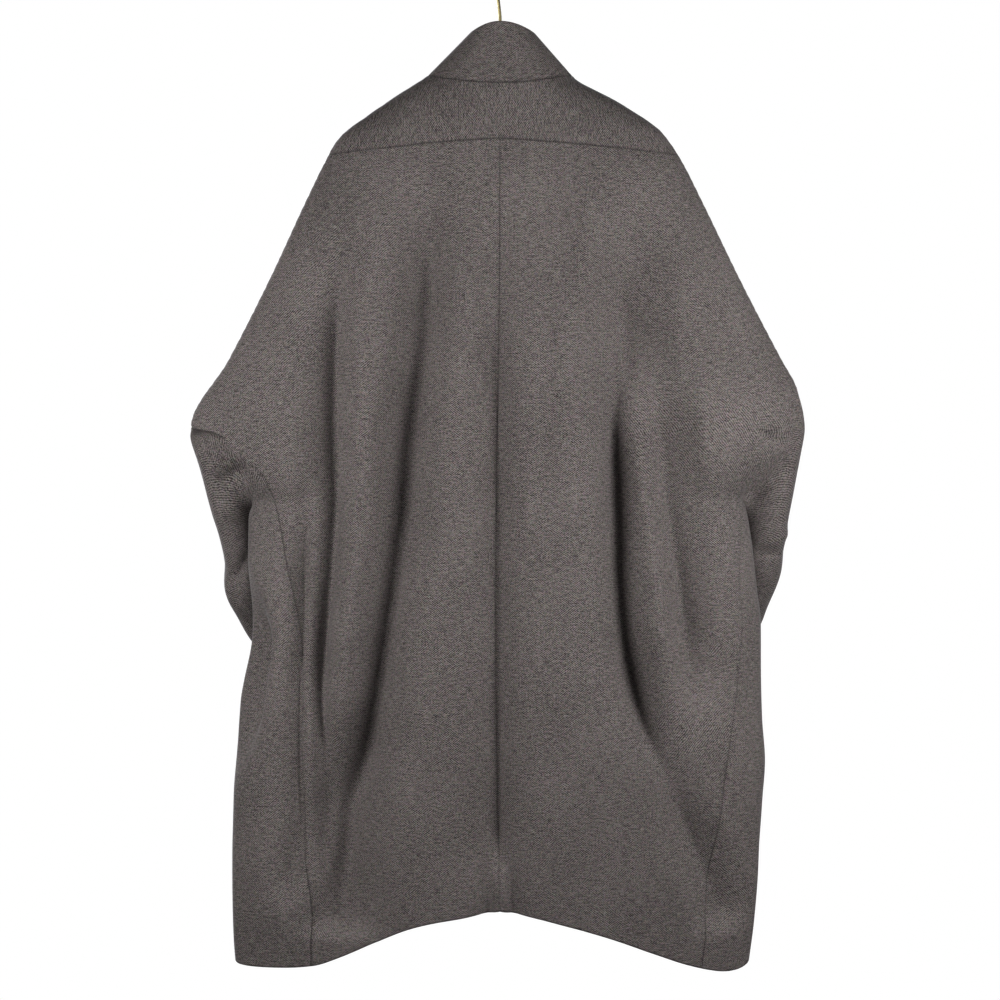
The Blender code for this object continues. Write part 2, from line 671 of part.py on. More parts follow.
def make_wire(name, points, radius, material, home):
    """Round bar along points, with closed ends."""
    data = bpy.data.curves.new(name, "CURVE")
    data.dimensions = "3D"
    data.bevel_depth = radius * MM
    data.bevel_resolution = 2
    data.use_fill_caps = True
    spline = data.splines.new("POLY")
    spline.points.add(len(points) - 1)
    for knot, (x, y, z) in zip(spline.points, points):
        knot.co = (x * MM, y * MM, z * MM, 1)
    data.materials.append(material)
    made = bpy.data.objects.new(name, data)
    home.objects.link(made)


def arm_points(side):
    """Middle line of a hanger arm, from the neck to its tip, under the shoulder's inside."""
    points = [(side * x, 0, -(drop + BAR_RADIUS)) for x, drop in BAR_MIDDLE]
    sink = WALL + BAR_CLEARANCE + BAR_RADIUS
    ridge = np.linspace(95, BAR_TIP_REACH[side] + 3, 9)
    drops, widths = np.array(OUTLINE[side][:7], dtype=float).T
    line = np.interp(ridge, widths, drops)
    slope = np.gradient(line, ridge)
    for x, drop, rise in zip(ridge, line, slope):
        size = math.hypot(1, rise)
        points.append((side * (x - sink * rise / size), 0, -(drop + sink / size)))
    return points


def make_hanger(wood, brass, home):
    """Plain bar under the shoulders and the wire hook that carries it."""
    left, right = arm_points(LEFT), arm_points(RIGHT)
    make_wire("hanger_bar", left[:0:-1] + right, BAR_RADIUS, wood, home)
    wire = [(x, 0, -drop) for x, drop in SHANK]
    for angle in np.radians(np.linspace(HOOK_START, HOOK_END, 22)):
        wire.append((HOOK_RADIUS * math.cos(angle), 0,
                     WIRE_RADIUS - HOOK_RADIUS + HOOK_RADIUS * math.sin(angle)))
    make_wire("hanger_hook", wire, WIRE_RADIUS, brass, home)


def main():
    """Builds every piece."""
    clear_scene()
    home = make_collection("cocoon_jacket")
    tools = make_collection("cutters")
    wool = make_material("wool_twill", (0.115, 0.102, 0.094), 0.9, 0)
    tape = make_material("zip_tape", (0.06, 0.054, 0.05), 0.85, 0)
    metal = make_material("zip_metal", (0.35, 0.31, 0.24), 0.35, 1)
    wood = make_material("beech", (0.42, 0.28, 0.16), 0.5, 0)
    brass = make_material("brass_wire", (0.4, 0.37, 0.24), 0.35, 1)
    for side, word in ((LEFT, "left"), (RIGHT, "right")):
        rows = ARM_ROWS + MOUTH_ROWS + SIDE_ROWS
        lay("back_" + word, BACK_COLUMNS, rows, back_place(side), wool, home)
        lay("front_" + word, FRONT_COLUMNS, YOKE_ROWS + rows, front_place(side), wool, home)
        lay("side_" + word, 2 * SIDE_COLUMNS, SIDE_ROWS, side_place(side), wool, home)
        make_sleeve("sleeve_" + word, side, wool, home)
        lay("zip_tape_" + word, 1, ZIP_ROWS, tape_place(side), tape, home)
    lay("back_yoke", 2 * BACK_COLUMNS, YOKE_ROWS, yoke_place, wool, home)
    lay("collar", 2 * (BACK_COLUMNS + FRONT_COLUMNS), COLLAR_ROWS, collar_place, wool, home)
    lay("zip_chain", 1, ZIP_ROWS, chain_place, metal, home)
    pivot = make_slider(metal, home, tools)
    make_pull(pivot, metal, home, tools)
    make_hanger(wood, brass, home)


main()
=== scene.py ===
"""Cocoon jacket in wool twill hanging on a coat hanger, laid out as an add-on and run as a script.

The jacket's back faces -Y, its front +Y, and +Z is up. Surfaces are worked out in millimetres: a drop is a
distance below the rail, a reach a distance from the centre line, and a sweep the angle round half a ring of
the jacket's form, from 0 at the centre line to a quarter turn at the side. Meshes are in metres.
"""
import math

import bmesh
import bpy
import numpy as np
from mathutils import Matrix, Vector, kdtree


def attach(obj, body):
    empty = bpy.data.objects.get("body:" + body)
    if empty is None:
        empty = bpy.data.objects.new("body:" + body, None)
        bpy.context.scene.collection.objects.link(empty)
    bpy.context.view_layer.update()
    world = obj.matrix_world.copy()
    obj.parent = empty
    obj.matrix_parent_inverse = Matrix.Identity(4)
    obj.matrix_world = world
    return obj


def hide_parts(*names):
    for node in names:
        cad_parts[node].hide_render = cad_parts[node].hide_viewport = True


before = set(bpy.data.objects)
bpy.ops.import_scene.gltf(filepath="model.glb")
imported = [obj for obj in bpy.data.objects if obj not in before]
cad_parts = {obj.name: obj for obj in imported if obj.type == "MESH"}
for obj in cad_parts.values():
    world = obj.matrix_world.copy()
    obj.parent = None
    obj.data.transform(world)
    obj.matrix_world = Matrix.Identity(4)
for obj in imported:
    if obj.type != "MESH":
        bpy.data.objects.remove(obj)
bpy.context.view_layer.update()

bl_info = {
    "name": "Cocoon jacket",
    "version": (1, 0, 0),
    "blender": (4, 5, 0),
    "location": "View3D > Sidebar > Cocoon",
    "description": "Builds a hanging cocoon jacket in wool twill around its packed frame",
    "category": "Object",
}

MM = 0.001
LEFT, RIGHT = -1, 1
BACK, FRONT = -1, 1
SIDES = ((LEFT, "left"), (RIGHT, "right"))
QUARTER = math.pi / 2
BODY, PULL = "jacket", "pull"

# Driving sizes of the cut in millimetres, the same as the frame's.
NECK_SIDE_DROP = 146.0     # neck point on the shoulder ridge
NECK_BACK_DIP = 12.8       # centre-back neck below the neck point
NECK_FRONT_DIP = 69.0      # centre-front neck below the neck point
YOKE_DROP = 230.0          # yoke seam at centre back
YOKE_END_DIP = 17.0        # how much lower the seam meets the shoulder ridge
YOKE_CURVE = 1.3           # how late along the seam it dips
FRONT_EDGE = 5.0           # front edge to centre line, leaving room for the zip chain
NECK_REACH = 91.5          # neck point to centre line
COLLAR_TOP_REACH = {LEFT: 38.0, RIGHT: 44.0}    # collar's top edge at the side
COLLAR_TOP_DEPTH = {BACK: 42.0, FRONT: 95.0}    # and at the centre line
COLLAR_TOP_SIDE_DROP = 92.0
COLLAR_TOP_DIP = {BACK: -12.5, FRONT: 48.0}     # how much lower it is at the centre line
COLLAR_SQUARENESS = 2.2

# Half width of the form: shoulder ridge, overarm seam to the elbow corner, then in to the underarm and down
# the side: (drop, reach).
OUTLINE = {
    LEFT: [(146, 91.5), (176, 138.5), (202, 176), (215, 194), (227, 206), (253, 221), (304, 246),
        (405, 293), (507, 345), (593, 393), (615, 387), (640, 366), (665, 339), (690, 315), (704, 319),
        (761, 320), (812, 319), (862, 322), (913, 333), (940, 337), (990, 338), (1040, 338), (1142, 340),
        (1243, 338), (1290, 334)],
    RIGHT: [(146, 91.5), (153, 99.5), (164, 121), (176, 144), (202, 186), (215, 203), (227, 213),
        (253, 230), (304, 256), (405, 305), (507, 358), (541, 376.6), (560, 380), (583, 381), (608, 376),
        (630, 361), (650, 339), (668, 319), (684, 308), (691, 311), (723, 317.5), (761, 322.5),
        (799, 326.5), (837, 331), (913, 331.5), (964, 333), (1015, 336.5), (1066, 333), (1116, 330),
        (1167, 329), (1218, 325), (1290, 314)],
}
# Folded edge of the upper sleeve from the elbow corner to the underarm: (drop, reach).
MOUTH = {
    LEFT: [(593, 393), (597, 375), (601, 357), (621, 340), (635, 325), (644, 318), (655, 315), (674, 312.5),
        (690, 315)],
    RIGHT: [(541, 376.6), (558, 374.6), (583, 372), (608, 368), (618, 363), (631, 349), (640, 334),
        (649, 321), (659, 309), (666, 305), (684, 308)],
}
# Side-back and side-front seams, from their start on the folded edge to the hem: (drop, reach).
SIDE_SEAM = {
    LEFT: [(636, 324), (646, 303), (671, 288), (705, 279), (748, 274), (789, 269), (856, 262), (927, 255),
        (1002, 254), (1085, 251), (1139, 248), (1182, 241), (1218, 238), (1290, 237)],
    RIGHT: [(666, 305), (683, 300), (710, 301), (766, 298.5), (795, 299), (841, 303), (889, 300),
        (938, 296), (993, 288), (1085, 279), (1163, 269), (1224, 259), (1290, 252)],
}
# Drops at which the folded edge starts and ends, and at which the side seams start on it.
ELBOW_DROP = {side: line[0][0] for side, line in MOUTH.items()}
UNDERARM_DROP = {side: line[-1][0] for side, line in MOUTH.items()}
TIP_DROP = {side: line[0][0] for side, line in SIDE_SEAM.items()}
# Half depth of the form behind and before the shoulder ridge: (drop, depth).
DEPTH = {
    BACK: [(146, 52), (159, 56), (230, 66), (300, 76), (400, 86), (550, 96), (700, 102), (850, 104),
        (1000, 98), (1150, 84), (1290, 70)],
    FRONT: [(146, 60), (215, 70), (300, 80), (400, 90), (550, 98), (700, 104), (850, 106), (1000, 104),
        (1150, 96), (1290, 86)],
}
# Width that the inner columns of backs and fronts keep to: (drop, reach).
INNER_WIDTH = [(247, 214), (420, 255), (600, 262), (760, 256), (1000, 244), (1290, 230)]
# How square the rings are, 2 for an oval: (drop, exponent).
SQUARENESS = {
    BACK: [(146, 2.2), (250, 2.4), (550, 2.7), (690, 3.6), (900, 4.0), (1290, 4.2)],
    FRONT: [(146, 2.2), (250, 2.3), (550, 2.4), (690, 2.7), (900, 3.0), (1290, 3.2)],
}
# Hem line round half the jacket, turn 0 at centre back, 0.5 at the side, 1 at centre front: (turn, drop).
HEM = {
    LEFT: [(0, 1201), (0.04, 1209), (0.1, 1221), (0.15, 1239), (0.2, 1258), (0.25, 1271), (0.35, 1274),
        (0.5, 1270), (0.65, 1262), (0.8, 1232), (1, 1200)],
    RIGHT: [(0, 1201), (0.04, 1209), (0.1, 1224), (0.15, 1238), (0.2, 1253), (0.28, 1272), (0.36, 1279),
        (0.5, 1268), (0.65, 1262), (0.8, 1232), (1, 1200)],
}
# How far the centre-back seam wanders to the side as it hangs: (drop, shift).
SWAY = [(230, 0), (480, -1.5), (700, -4.5), (860, -5.5), (1050, -3), (1201, 0)]

# Folds and creases, as ridges and troughs along a line on one face:
# (name, face, height, half width left, half width right, (fade at start, at end), [(x, drop), ...]).
CREASES = [
    ("centre back", BACK, -26, 50, 34, (330, 90), [(-6, 236), (-6, 480), (-2, 684), (-2, 888), (-2, 1020),
        (0, 1185)]),
    ("centre back pinch", BACK, -9, 14, 8, (300, 60), [(-6, 300), (-4, 480), (-2, 684), (-2, 888),
        (-1, 1165)]),
    ("left outer", BACK, -26, 26, 24, (300, 110), [(-194, 268), (-213, 481), (-213, 640), (-218, 760),
        (-231, 888), (-228, 989), (-226, 1091), (-230, 1170)]),
    ("left outer pinch", BACK, -6, 12, 12, (80, 70), [(-220, 780), (-232, 888), (-230, 960), (-224, 1030)]),
    ("left seam", BACK, -23, 20, 15, (110, 60), [(-246, 640), (-259, 786), (-263, 888), (-260, 989),
        (-259, 1091), (-274, 1210)]),
    ("left inner", BACK, -22, 44, 30, (150, 120), [(-90, 232), (-92, 380), (-100, 481), (-115, 583),
        (-123, 684), (-137, 786), (-152, 888), (-168, 989), (-190, 1091), (-198, 1160), (-204, 1240)]),
    ("left inner deep", BACK, -20, 24, 30, (300, 130), [(-92, 330), (-100, 481), (-115, 583), (-123, 684),
        (-137, 786), (-152, 888), (-168, 989), (-190, 1100)]),
    ("right slight", BACK, -7, 16, 18, (80, 110), [(62, 400), (58, 557), (44, 740)]),
    ("right branch", BACK, -11, 18, 16, (60, 70), [(88, 262), (94, 340), (106, 440)]),
    ("right inner", BACK, -14, 40, 26, (190, 260), [(153, 470), (147, 583), (152, 684), (154, 786),
        (166, 888), (192, 989), (232, 1091), (256, 1150)]),
    ("right inner pinch", BACK, -20, 18, 10, (160, 150), [(150, 500), (147, 583), (152, 684), (154, 786),
        (166, 888), (192, 989), (216, 1050)]),
    ("right wing", BACK, 12, 50, 44, (200, 260), [(250, 380), (252, 560), (262, 700), (278, 860),
        (292, 1060)]),
    ("left pressed", BACK, 2.2, 4, 4, (30, 30), [(-231, 875), (-197, 858), (-159, 846), (-127, 837)]),
    ("right pressed", BACK, 2.2, 4, 4, (25, 25), [(178, 837), (200, 850), (240, 872), (298, 889)]),
    ("hem left of seam", BACK, -13, 16, 9, (60, 4), [(-8, 1110), (-15, 1180), (-15, 1218)]),
    ("hem right of seam", BACK, -13, 9, 14, (60, 4), [(8, 1120), (15, 1180), (16, 1218)]),
    ("elbow pinch", BACK, -13, 8, 8, (16, 14), [(322, 604), (342, 605), (355, 611), (362, 626)]),
    ("front left", FRONT, -30, 18, 22, (250, 110), [(-120, 320), (-135, 640), (-165, 900), (-205, 1190)]),
    ("front right", FRONT, -32, 20, 17, (250, 110), [(110, 310), (132, 600), (150, 880), (215, 1160)]),
    ("front hem", FRONT, -10, 20, 24, (170, 20), [(70, 880), (78, 1080), (85, 1245)]),
    ("front outer", FRONT, -13, 22, 20, (130, 130), [(-215, 420), (-228, 700), (-240, 980)]),
    ("front low", FRONT, -12, 20, 24, (130, 60), [(226, 700), (240, 900), (262, 1160)]),
    ("front elbow", FRONT, -8, 9, 9, (40, 40), [(300, 520), (325, 590), (318, 640)]),
]
# Broader folds with straight flanks, as CREASES but always behind:
# (name, depth, half width left, half width right, (fade at start, at end), [(x, drop), ...]).
VALLEYS = [
    ("right upper", -42, 56, 58, (220, 130), [(172, 250), (166, 380), (159, 481), (150, 590)]),
    ("right inner", -22, 30, 38, (170, 200), [(152, 480), (147, 583), (152, 684), (154, 786), (166, 888),
        (192, 989), (226, 1080)]),
    ("right second", -32, 32, 46, (110, 160), [(200, 500), (204, 583), (219, 684), (233, 786), (246, 900),
        (258, 1000)]),
    ("right low", -24, 44, 36, (120, 40), [(215, 1000), (236, 1091), (262, 1145), (282, 1192),
        (290, 1235)]),
    ("left inner", -16, 40, 44, (120, 120), [(-88, 280), (-94, 380), (-100, 481), (-115, 583), (-123, 684),
        (-137, 786), (-152, 888), (-170, 989), (-192, 1091)]),
    ("left outer", -14, 38, 30, (160, 150), [(-205, 330), (-213, 481), (-214, 640), (-222, 760),
        (-234, 888), (-232, 989)]),
    ("left tail", -28, 54, 50, (150, 30), [(-168, 920), (-192, 1060), (-200, 1130), (-202, 1240)]),
]
VALLEY_ROUND = 0.14        # roundness of a valley's bottom and rims
SIDE_CALM = 24             # how late towards the side the creases die out
FOLD_SHARE = {BACK: 0.9, FRONT: 1.0}   # depth of the creases as hung, as a share of the table's depths
CREASE_ROUND = 0.28        # roundness of a crease's bottom, as a share of its half width
CREASE_STEEP = 1.6         # how fast a crease rises beside its line
PATH_STEP, PATH_LEAST = 14, 8          # spacing of a crease's points, and their least number
SLOPE_DROP, SLOPE_SWEEP = 0.2, 0.002   # steps over which the form's slopes are taken
# Tucks pushed in at the side: (side, depth, middle y, half width, first drop, last drop).
TUCKS = [
    (LEFT, 40, -25, 28, 760, 1060),
    (RIGHT, 9, 14, 18, 1080, 1330),
]
# Slow unevenness of hung cloth: (wave along x, wave along drop, phase, height).
WAVES = [
    (310, 520, 0.4, 1.0),
    (-170, 260, 1.9, 0.8),
    (92, -330, 0.8, 0.5),
    (-61, 150, 2.6, 0.3),
    (43, 77, 4.0, 0.18),
]

# Lower sleeves from the elbow to the cuff. Each ring is an oval between an outer and an inner edge:
# (outer reach, outer drop, inner reach, inner drop, half thickness, forward, tilt in degrees).
SLEEVE = {
    LEFT: [
        (392, 616, 311, 700, 36, 34, 0),
        (386, 636, 312, 714, 40, 42, 10),
        (375, 681, 308, 729, 45, 58, 22),
        (363, 720, 301, 748, 48, 72, 30),
        (356, 757, 295, 770, 50, 88, 34),
        (357, 792, 288, 790, 50, 104, 38),
        (343, 823, 274, 808, 48, 121, 40),
        (325, 856, 254, 832, 46, 136, 40),
        (296, 886, 232, 858, 44, 148, 38),
    ],
    RIGHT: [
        (386, 577, 306.5, 694, 24, 25, 0),
        (388, 597, 307, 707, 32, 38, 6),
        (384, 628, 309, 719, 38, 48, 14),
        (378, 668, 307, 731, 45, 62, 22),
        (371, 708, 303, 744, 50, 76, 28),
        (366, 746, 299, 760, 51, 90, 33),
        (365, 767, 292, 778, 51, 105, 38),
        (351, 806, 278, 800, 48, 122, 41),
        (336, 843, 262, 826, 46, 137, 41),
        (300, 874, 238, 848, 44, 150, 38),
    ],
}
# Creases of the lower sleeves, seen from behind:
# (side, height, half width above, half width below, (fade at start, at end), [(x, drop), ...]).
SLEEVE_CREASES = [
    (LEFT, -9, 14, 16, (25, 30), [(-312, 642), (-345, 656), (-378, 672)]),
    (LEFT, 4, 16, 14, (25, 25), [(-316, 690), (-345, 700), (-372, 706)]),
    (LEFT, -7, 12, 14, (20, 25), [(-312, 748), (-332, 774), (-352, 796)]),
    (RIGHT, -8, 12, 15, (20, 20), [(310, 692), (330, 674), (354, 654), (378, 632)]),
    (RIGHT, -5, 8, 12, (18, 18), [(318, 753), (342, 755), (370, 755)]),
    (RIGHT, 4, 8, 8, (16, 16), [(340, 744), (356, 737), (374, 716)]),
]
SLEEVE_TUCK = 8.0          # how far the lower sleeve reaches up under the folded edge
TUCK_CLEAR = 20.0          # and its clearance from the cloth above it
UNDERARM_TURN = 0.95       # turn either side of the underarm over which it starts behind the side panel
UNDERARM_IN = 6.5          # how far inside the side panel it starts there
UNDERARM_DOWN = 2.0        # and how far below that panel's top edge
ELBOW_TURN = 0.35          # turn either side of the elbow corner over which there is no tuck

# Zip on the fronts' centre line, in millimetres and in shares of its length.
CHAIN_RECESS = 1.0         # chain's outer side behind the cloth's
CHAIN_BACK = 5.0           # and its inner side
ZIP_COLLAR_SHARE = 0.07    # share of the zip's length that lies in the collar
ZIP_START = 0.004          # the chain's first place along the zip
ZIP_ABOVE_HEM = 3
ZIP_PLACES = 1500          # places along the zip between which the teeth are set
ZIP_SLOPE_STEP = 0.001
TOOTH_SIZE = (3.4, 2.6, 1.3)
TOOTH_GAP = 0.25
TOOTH_TIP = (1, 0.62, 0.8)             # tip of a tooth beside its root
TOOTH_SHIFT = 0.9                      # row of teeth to the centre line
TOOTH_EASE, METAL_EASE = 0.2, 0.3      # eased edges of the teeth, and of slider and pull
FLAT_ANGLE, SHARP_ANGLE = 0.02, 0.5    # faces merged below the first, edges eased above the second
WELD = 1e-6                            # points closer than this are one, in metres

# Hanger.
BAR_RADIUS = 7.0
BAR_CLEARANCE = 1.3
BAR_TIP_REACH = {LEFT: 180.0, RIGHT: 186.0}
BAR_MIDDLE = [(0, 131), (34, 133), (62, 139)]     # top line inside the neck: (reach, drop)
WIRE_RADIUS = 2.0
HOOK_RADIUS = 20.0
HOOK_START, HOOK_END = 192.0, -35.0               # angles of the hook's arc, in degrees
HOOK_PLACES = 48
ARM_START, ARM_PAST_TIP, ARM_PLACES = 95, 3, 9    # reaches between which an arm follows the shoulder
SHOULDER_STATIONS = 7                             # stations of OUTLINE along the shoulder
SHANK = [(0.6, 130.6), (0.6, 92), (0, 70), (-2.2, 50), (-8, 38), (-15.5, 28)]   # (x, drop)

# Close rows of a panel beside its edges, so the edges roll over softly.
EDGE_LINES = (0.5, 1.2, 2.2, 3.8)
SEAM, SOFT, HEMMED = "seam", "soft seam", "hemmed"
SOFT_SHARE = 0.6           # how deep a pressed seam lies beside a plain one, and how dark its painted shade is
SEAM_SPREAD = 1.6          # width over which the painted shade along a seam fades
GATHER_TURN = 0.5          # gathers along a seam, in radians a millimetre
GATHER_STRAY = (1.7, 31)   # how far they stray, and over which length
GATHER_AWAY = (5, 7)       # their distance from the seam, and its spread
NECK_EASE = 0.16           # share of a front's length in which its columns leave the neck line
HEM_GUESS, HEM_ROUNDS = 1260.0, 30     # start and rounds of the search for a side seam's end
# Spans that set how many lines the grids have: (across, along).
BODY_SPAN, SLEEVE_SPAN = 400, 290
YOKE_SPAN, SIDE_SPAN, COLLAR_SPAN = (430, 80), (190, 600), (520, 75)
COLLAR_STEP_SHARE = 0.7
MOUTH_ROWS, SLEEVE_COLUMNS = 26, 88
BOLT_STEP = 0.731          # each piece is cut from its own stretch of the bolt, in metres

# The cut of each piece: (flat width, flat length, flat area), in metres and square metres.
CUT = {
    "back_left": (0.46, 1.07, 0.335),
    "back_right": (0.46, 1.07, 0.355),
    "front_left": (0.44, 1.10, 0.315),
    "front_right": (0.44, 1.10, 0.340),
    "side_left": (0.24, 0.64, 0.135),
    "side_right": (0.18, 0.62, 0.090),
    "back_yoke": (0.47, 0.10, 0.037),
    "collar": (0.54, 0.08, 0.033),
    "sleeve_left": (0.31, 0.29, 0.080),
    "sleeve_right": (0.31, 0.29, 0.080),
}

# Area lights: (name, place, size, setting that holds the power), in metres.
SOFTBOXES = [
    ("key_softbox", (1.14, -0.95, -0.46), 0.8, "key"),
    ("fill_softbox", (-1.14, -0.95, -0.46), 0.8, "fill"),
    ("front_panel", (0, -3.2, -0.4), 1.6, "front"),
    ("rim_softbox", (-1.1, 1.7, -0.2), 0.8, "rim"),
    ("backdrop", (0, 2.6, -0.6), 3.0, "backdrop"),
]
FLOOR_RADIUS, FLOOR_SIDES = 5.0, 96
SENSOR_WIDTH = 36


def linear(code):
    """Linear colour of an sRGB hex value."""
    shares = [int(code[i:i + 2], 16) / 255 for i in (1, 3, 5)]
    return [c / 12.92 if c <= 0.04045 else ((c + 0.055) / 1.055) ** 2.4 for c in shares]


def number(name, text, value, unit="NONE"):
    """Setting of a number."""
    return bpy.props.FloatProperty(name=name, description=text, default=value, unit=unit)


def paint(name, text, code):
    """Setting of a colour."""
    return bpy.props.FloatVectorProperty(name=name, description=text, subtype="COLOR", default=linear(code))


class CocoonCloth(bpy.types.PropertyGroup):
    """Sizes of the cloth and its weave."""
    wall: number("Wall", "Wool, thin down and lining together", 0.005, "LENGTH")
    step: number("Mesh step", "Usual size of a panel's cells", 0.0042, "LENGTH")
    seam_roll: number("Seam roll", "Radius over which an edge turns into its seam", 0.0010, "LENGTH")
    pucker: number("Pucker", "Height of the gathers along a seam", 0.0005, "LENGTH")
    pitch_across: number("Weave pitch across", "Width of one diamond of the twill, a little coarser than the "
                         "real 2.6 mm so that it shows", 0.0034, "LENGTH")
    pitch_along: number("Weave pitch along", "Height of one diamond of the twill, a little coarser than the "
                        "real 1.9 mm so that it shows", 0.0025, "LENGTH")


class CocoonColours(bpy.types.PropertyGroup):
    """Colours of the cloth, trims and hanger."""
    yarn_dark: paint("Dark yarn", "Darkest fibres of the wool", "#2a2928")
    yarn_light: paint("Light yarn", "Lightest fibres of the wool", "#948d8b")
    nap: paint("Nap", "Cool sheen of the brushed fibre ends", "#dfe6f2")
    lining: paint("Lining", "Satin lining", "#4a423d")
    tape: paint("Zip tape", "Woven zip tape", "#45413e")
    zip_metal: paint("Zip metal", "Antique brass of the zip", "#9a8a68")
    wood: paint("Hanger", "Lacquered beech", "#b8906a")
    brass: paint("Hook", "Satin brass wire", "#a39a78")


class CocoonStage(bpy.types.PropertyGroup):
    """Camera, lights and floor."""
    distance: number("Camera distance", "Camera to the jacket's middle", 6.0, "LENGTH")
    view_width: number("View width", "Width of the picture at the jacket", 1.27, "LENGTH")
    view_drop: number("View drop", "Middle of the picture below the rail", 0.6845, "LENGTH")
    floor_drop: number("Floor", "Floor below the rail", 1.95, "LENGTH")
    key: number("Key light", "Softbox on the right", 23.5, "POWER")
    fill: number("Fill light", "Softbox on the left", 21.0, "POWER")
    front: number("Front panel", "Large soft panel on the camera's side", 10.0, "POWER")
    rim: number("Rim light", "Softbox before the jacket, to one side", 26.0, "POWER")
    backdrop: number("Backdrop", "Large white panel before the jacket", 80.0, "POWER")
    wash: number("Floor wash", "Even overhead light on the floor alone", 2.9)
    contrast: number("Display gamma", "Below 1 for the contrast of a studio picture", 0.75)
    ambient: number("Ambient", "Strength of the pale room", 0.1)


def smooth(stations, at):
    """Value at each place on a smooth curve through (place, value) stations, level past its ends."""
    knots, values = np.array(stations, dtype=float).T
    steps = np.diff(knots)
    slopes = np.diff(values) / steps
    inner = (slopes[:-1] + slopes[1:]) / 2
    limit = 3 * np.minimum(np.abs(slopes[:-1]), np.abs(slopes[1:]))
    inner = np.where(slopes[:-1] * slopes[1:] > 0, np.clip(inner, -limit, limit), 0)
    tangents = np.concatenate([slopes[:1], inner, slopes[-1:]])
    place = np.clip(at, knots[0], knots[-1])
    i = np.clip(np.searchsorted(knots, place) - 1, 0, len(steps) - 1)
    t = (place - knots[i]) / steps[i]
    rise = values[i + 1] - values[i]
    ease = t * t * (3 - 2 * t)
    start = t * (1 - t) ** 2 * tangents[i] * steps[i]
    end = t * t * (t - 1) * tangents[i + 1] * steps[i]
    return values[i] + rise * ease + start + end


def reach(drop, side):
    """Half width of the ring at a drop."""
    return smooth(OUTLINE[side], drop)


def line_sweep(line, drop, side):
    """Sweep at which a ring meets the folded edge or a side seam."""
    return np.arcsin(np.clip(smooth(line[side], drop) / reach(drop, side), 0, 1))


def fine_path(path):
    """Smooth run of points through a crease's stations."""
    stations = np.array(path, dtype=float)
    along = np.concatenate([[0], np.cumsum(np.hypot(*np.diff(stations, axis=0).T))])
    places = np.linspace(0, along[-1], max(PATH_LEAST, int(along[-1] / PATH_STEP)))
    return np.stack([smooth(list(zip(along, stations[:, k])), places) for k in (0, 1)], axis=-1)


def crease(x, drop, height, left, right, fade, path, straight=False):
    """Height of one ridge or trough at each place, by its distance from the crease's line."""
    run = fine_path(path)
    nearest = np.full(x.shape, np.inf)
    away, along = np.zeros_like(x), np.zeros_like(x)
    gone = 0.0
    for (x0, d0), (x1, d1) in zip(run[:-1], run[1:]):
        dx, dd = x1 - x0, d1 - d0
        size = math.hypot(dx, dd)
        t = np.clip(((x - x0) * dx + (drop - d0) * dd) / size ** 2, 0, 1)
        gap = np.hypot(x - x0 - t * dx, drop - d0 - t * dd)
        closer = gap < nearest
        turn = np.where(dx * (drop - d0) - dd * (x - x0) > 0, -1, 1)
        nearest = np.where(closer, gap, nearest)
        away = np.where(closer, gap * turn, away)
        along = np.where(closer, gone + t * size, along)
        gone += size
    ease = np.clip(np.minimum(along / fade[0], (gone - along) / fade[1]), 0, 1)
    share = away / np.where(away < 0, left, right)
    if straight:
        rim = 1 + VALLEY_ROUND - np.sqrt(share ** 2 + VALLEY_ROUND ** 2)
        point = (rim + np.sqrt(rim ** 2 + VALLEY_ROUND ** 2)) / 2
    else:
        point = np.exp((CREASE_ROUND - np.sqrt(share ** 2 + CREASE_ROUND ** 2)) * CREASE_STEEP)
    return height * ease * ease * (3 - 2 * ease) * point


def relief(x, drop, face):
    """Height of the folds, creases and slow waves of one face above its form."""
    height = np.zeros_like(x)
    for along_x, along_drop, phase, rise in WAVES:
        height += rise * np.sin(2 * math.pi * (x / along_x + drop / along_drop) + phase + face)
    for _, on, *shape in CREASES:
        if on == face:
            height += FOLD_SHARE[face] * crease(x, drop, *shape)
    for _, *shape in VALLEYS:
        if face == BACK:
            height += crease(x, drop, *shape, straight=True)
    return height


def tucks(y, drop, side):
    """How far the side is pushed in at a place."""
    depth = np.zeros_like(y)
    for on, deep, middle, half, first, last in TUCKS:
        if on == side:
            t = np.clip((drop - first) / (last - first), 0, 1)
            depth += deep * np.sin(np.pi * t) ** 2 * np.exp(-((y - middle) / half) ** 2)
    return depth


def form(drop, sweep, side, face):
    """Smooth form under the cloth's folds."""
    sine = np.sin(sweep)
    x = side * reach(drop, side) * sine
    deep = np.sqrt(np.clip(1 - np.abs(sine) ** smooth(SQUARENESS[face], drop), 0, 1))
    y = face * smooth(DEPTH[face], drop) * deep
    return np.stack([x - side * tucks(y, drop, side), y, -drop], axis=-1)


def outward(drop, sweep, side, face):
    """Unit normal of the form."""
    down = form(drop + SLOPE_DROP, sweep, side, face) - form(drop - SLOPE_DROP, sweep, side, face)
    beyond = np.minimum(sweep + SLOPE_SWEEP, QUARTER)
    across = form(drop, beyond, side, face) - form(drop, sweep - SLOPE_SWEEP, side, face)
    normal = -side * face * np.cross(down, across)
    return normal / np.linalg.norm(normal, axis=-1, keepdims=True)


def cloth_at(drop, sweep, side, face):
    """Outer surface of the jacket with its folds."""
    sway = smooth(SWAY, drop) * np.cos(sweep) ** 2 if face == BACK else 0
    sine = np.sin(sweep)
    height = relief(side * reach(drop, side) * sine + sway, drop, face) * (1 - sine ** SIDE_CALM)
    points = form(drop, sweep, side, face) + height[..., None] * outward(drop, sweep, side, face)
    points[..., 0] += sway
    return points


def neck(angle, face):
    """Drop of the neck line at an angle from the centre line."""
    dip = NECK_BACK_DIP if face == BACK else NECK_FRONT_DIP
    return NECK_SIDE_DROP + dip * np.cos(angle) ** 2


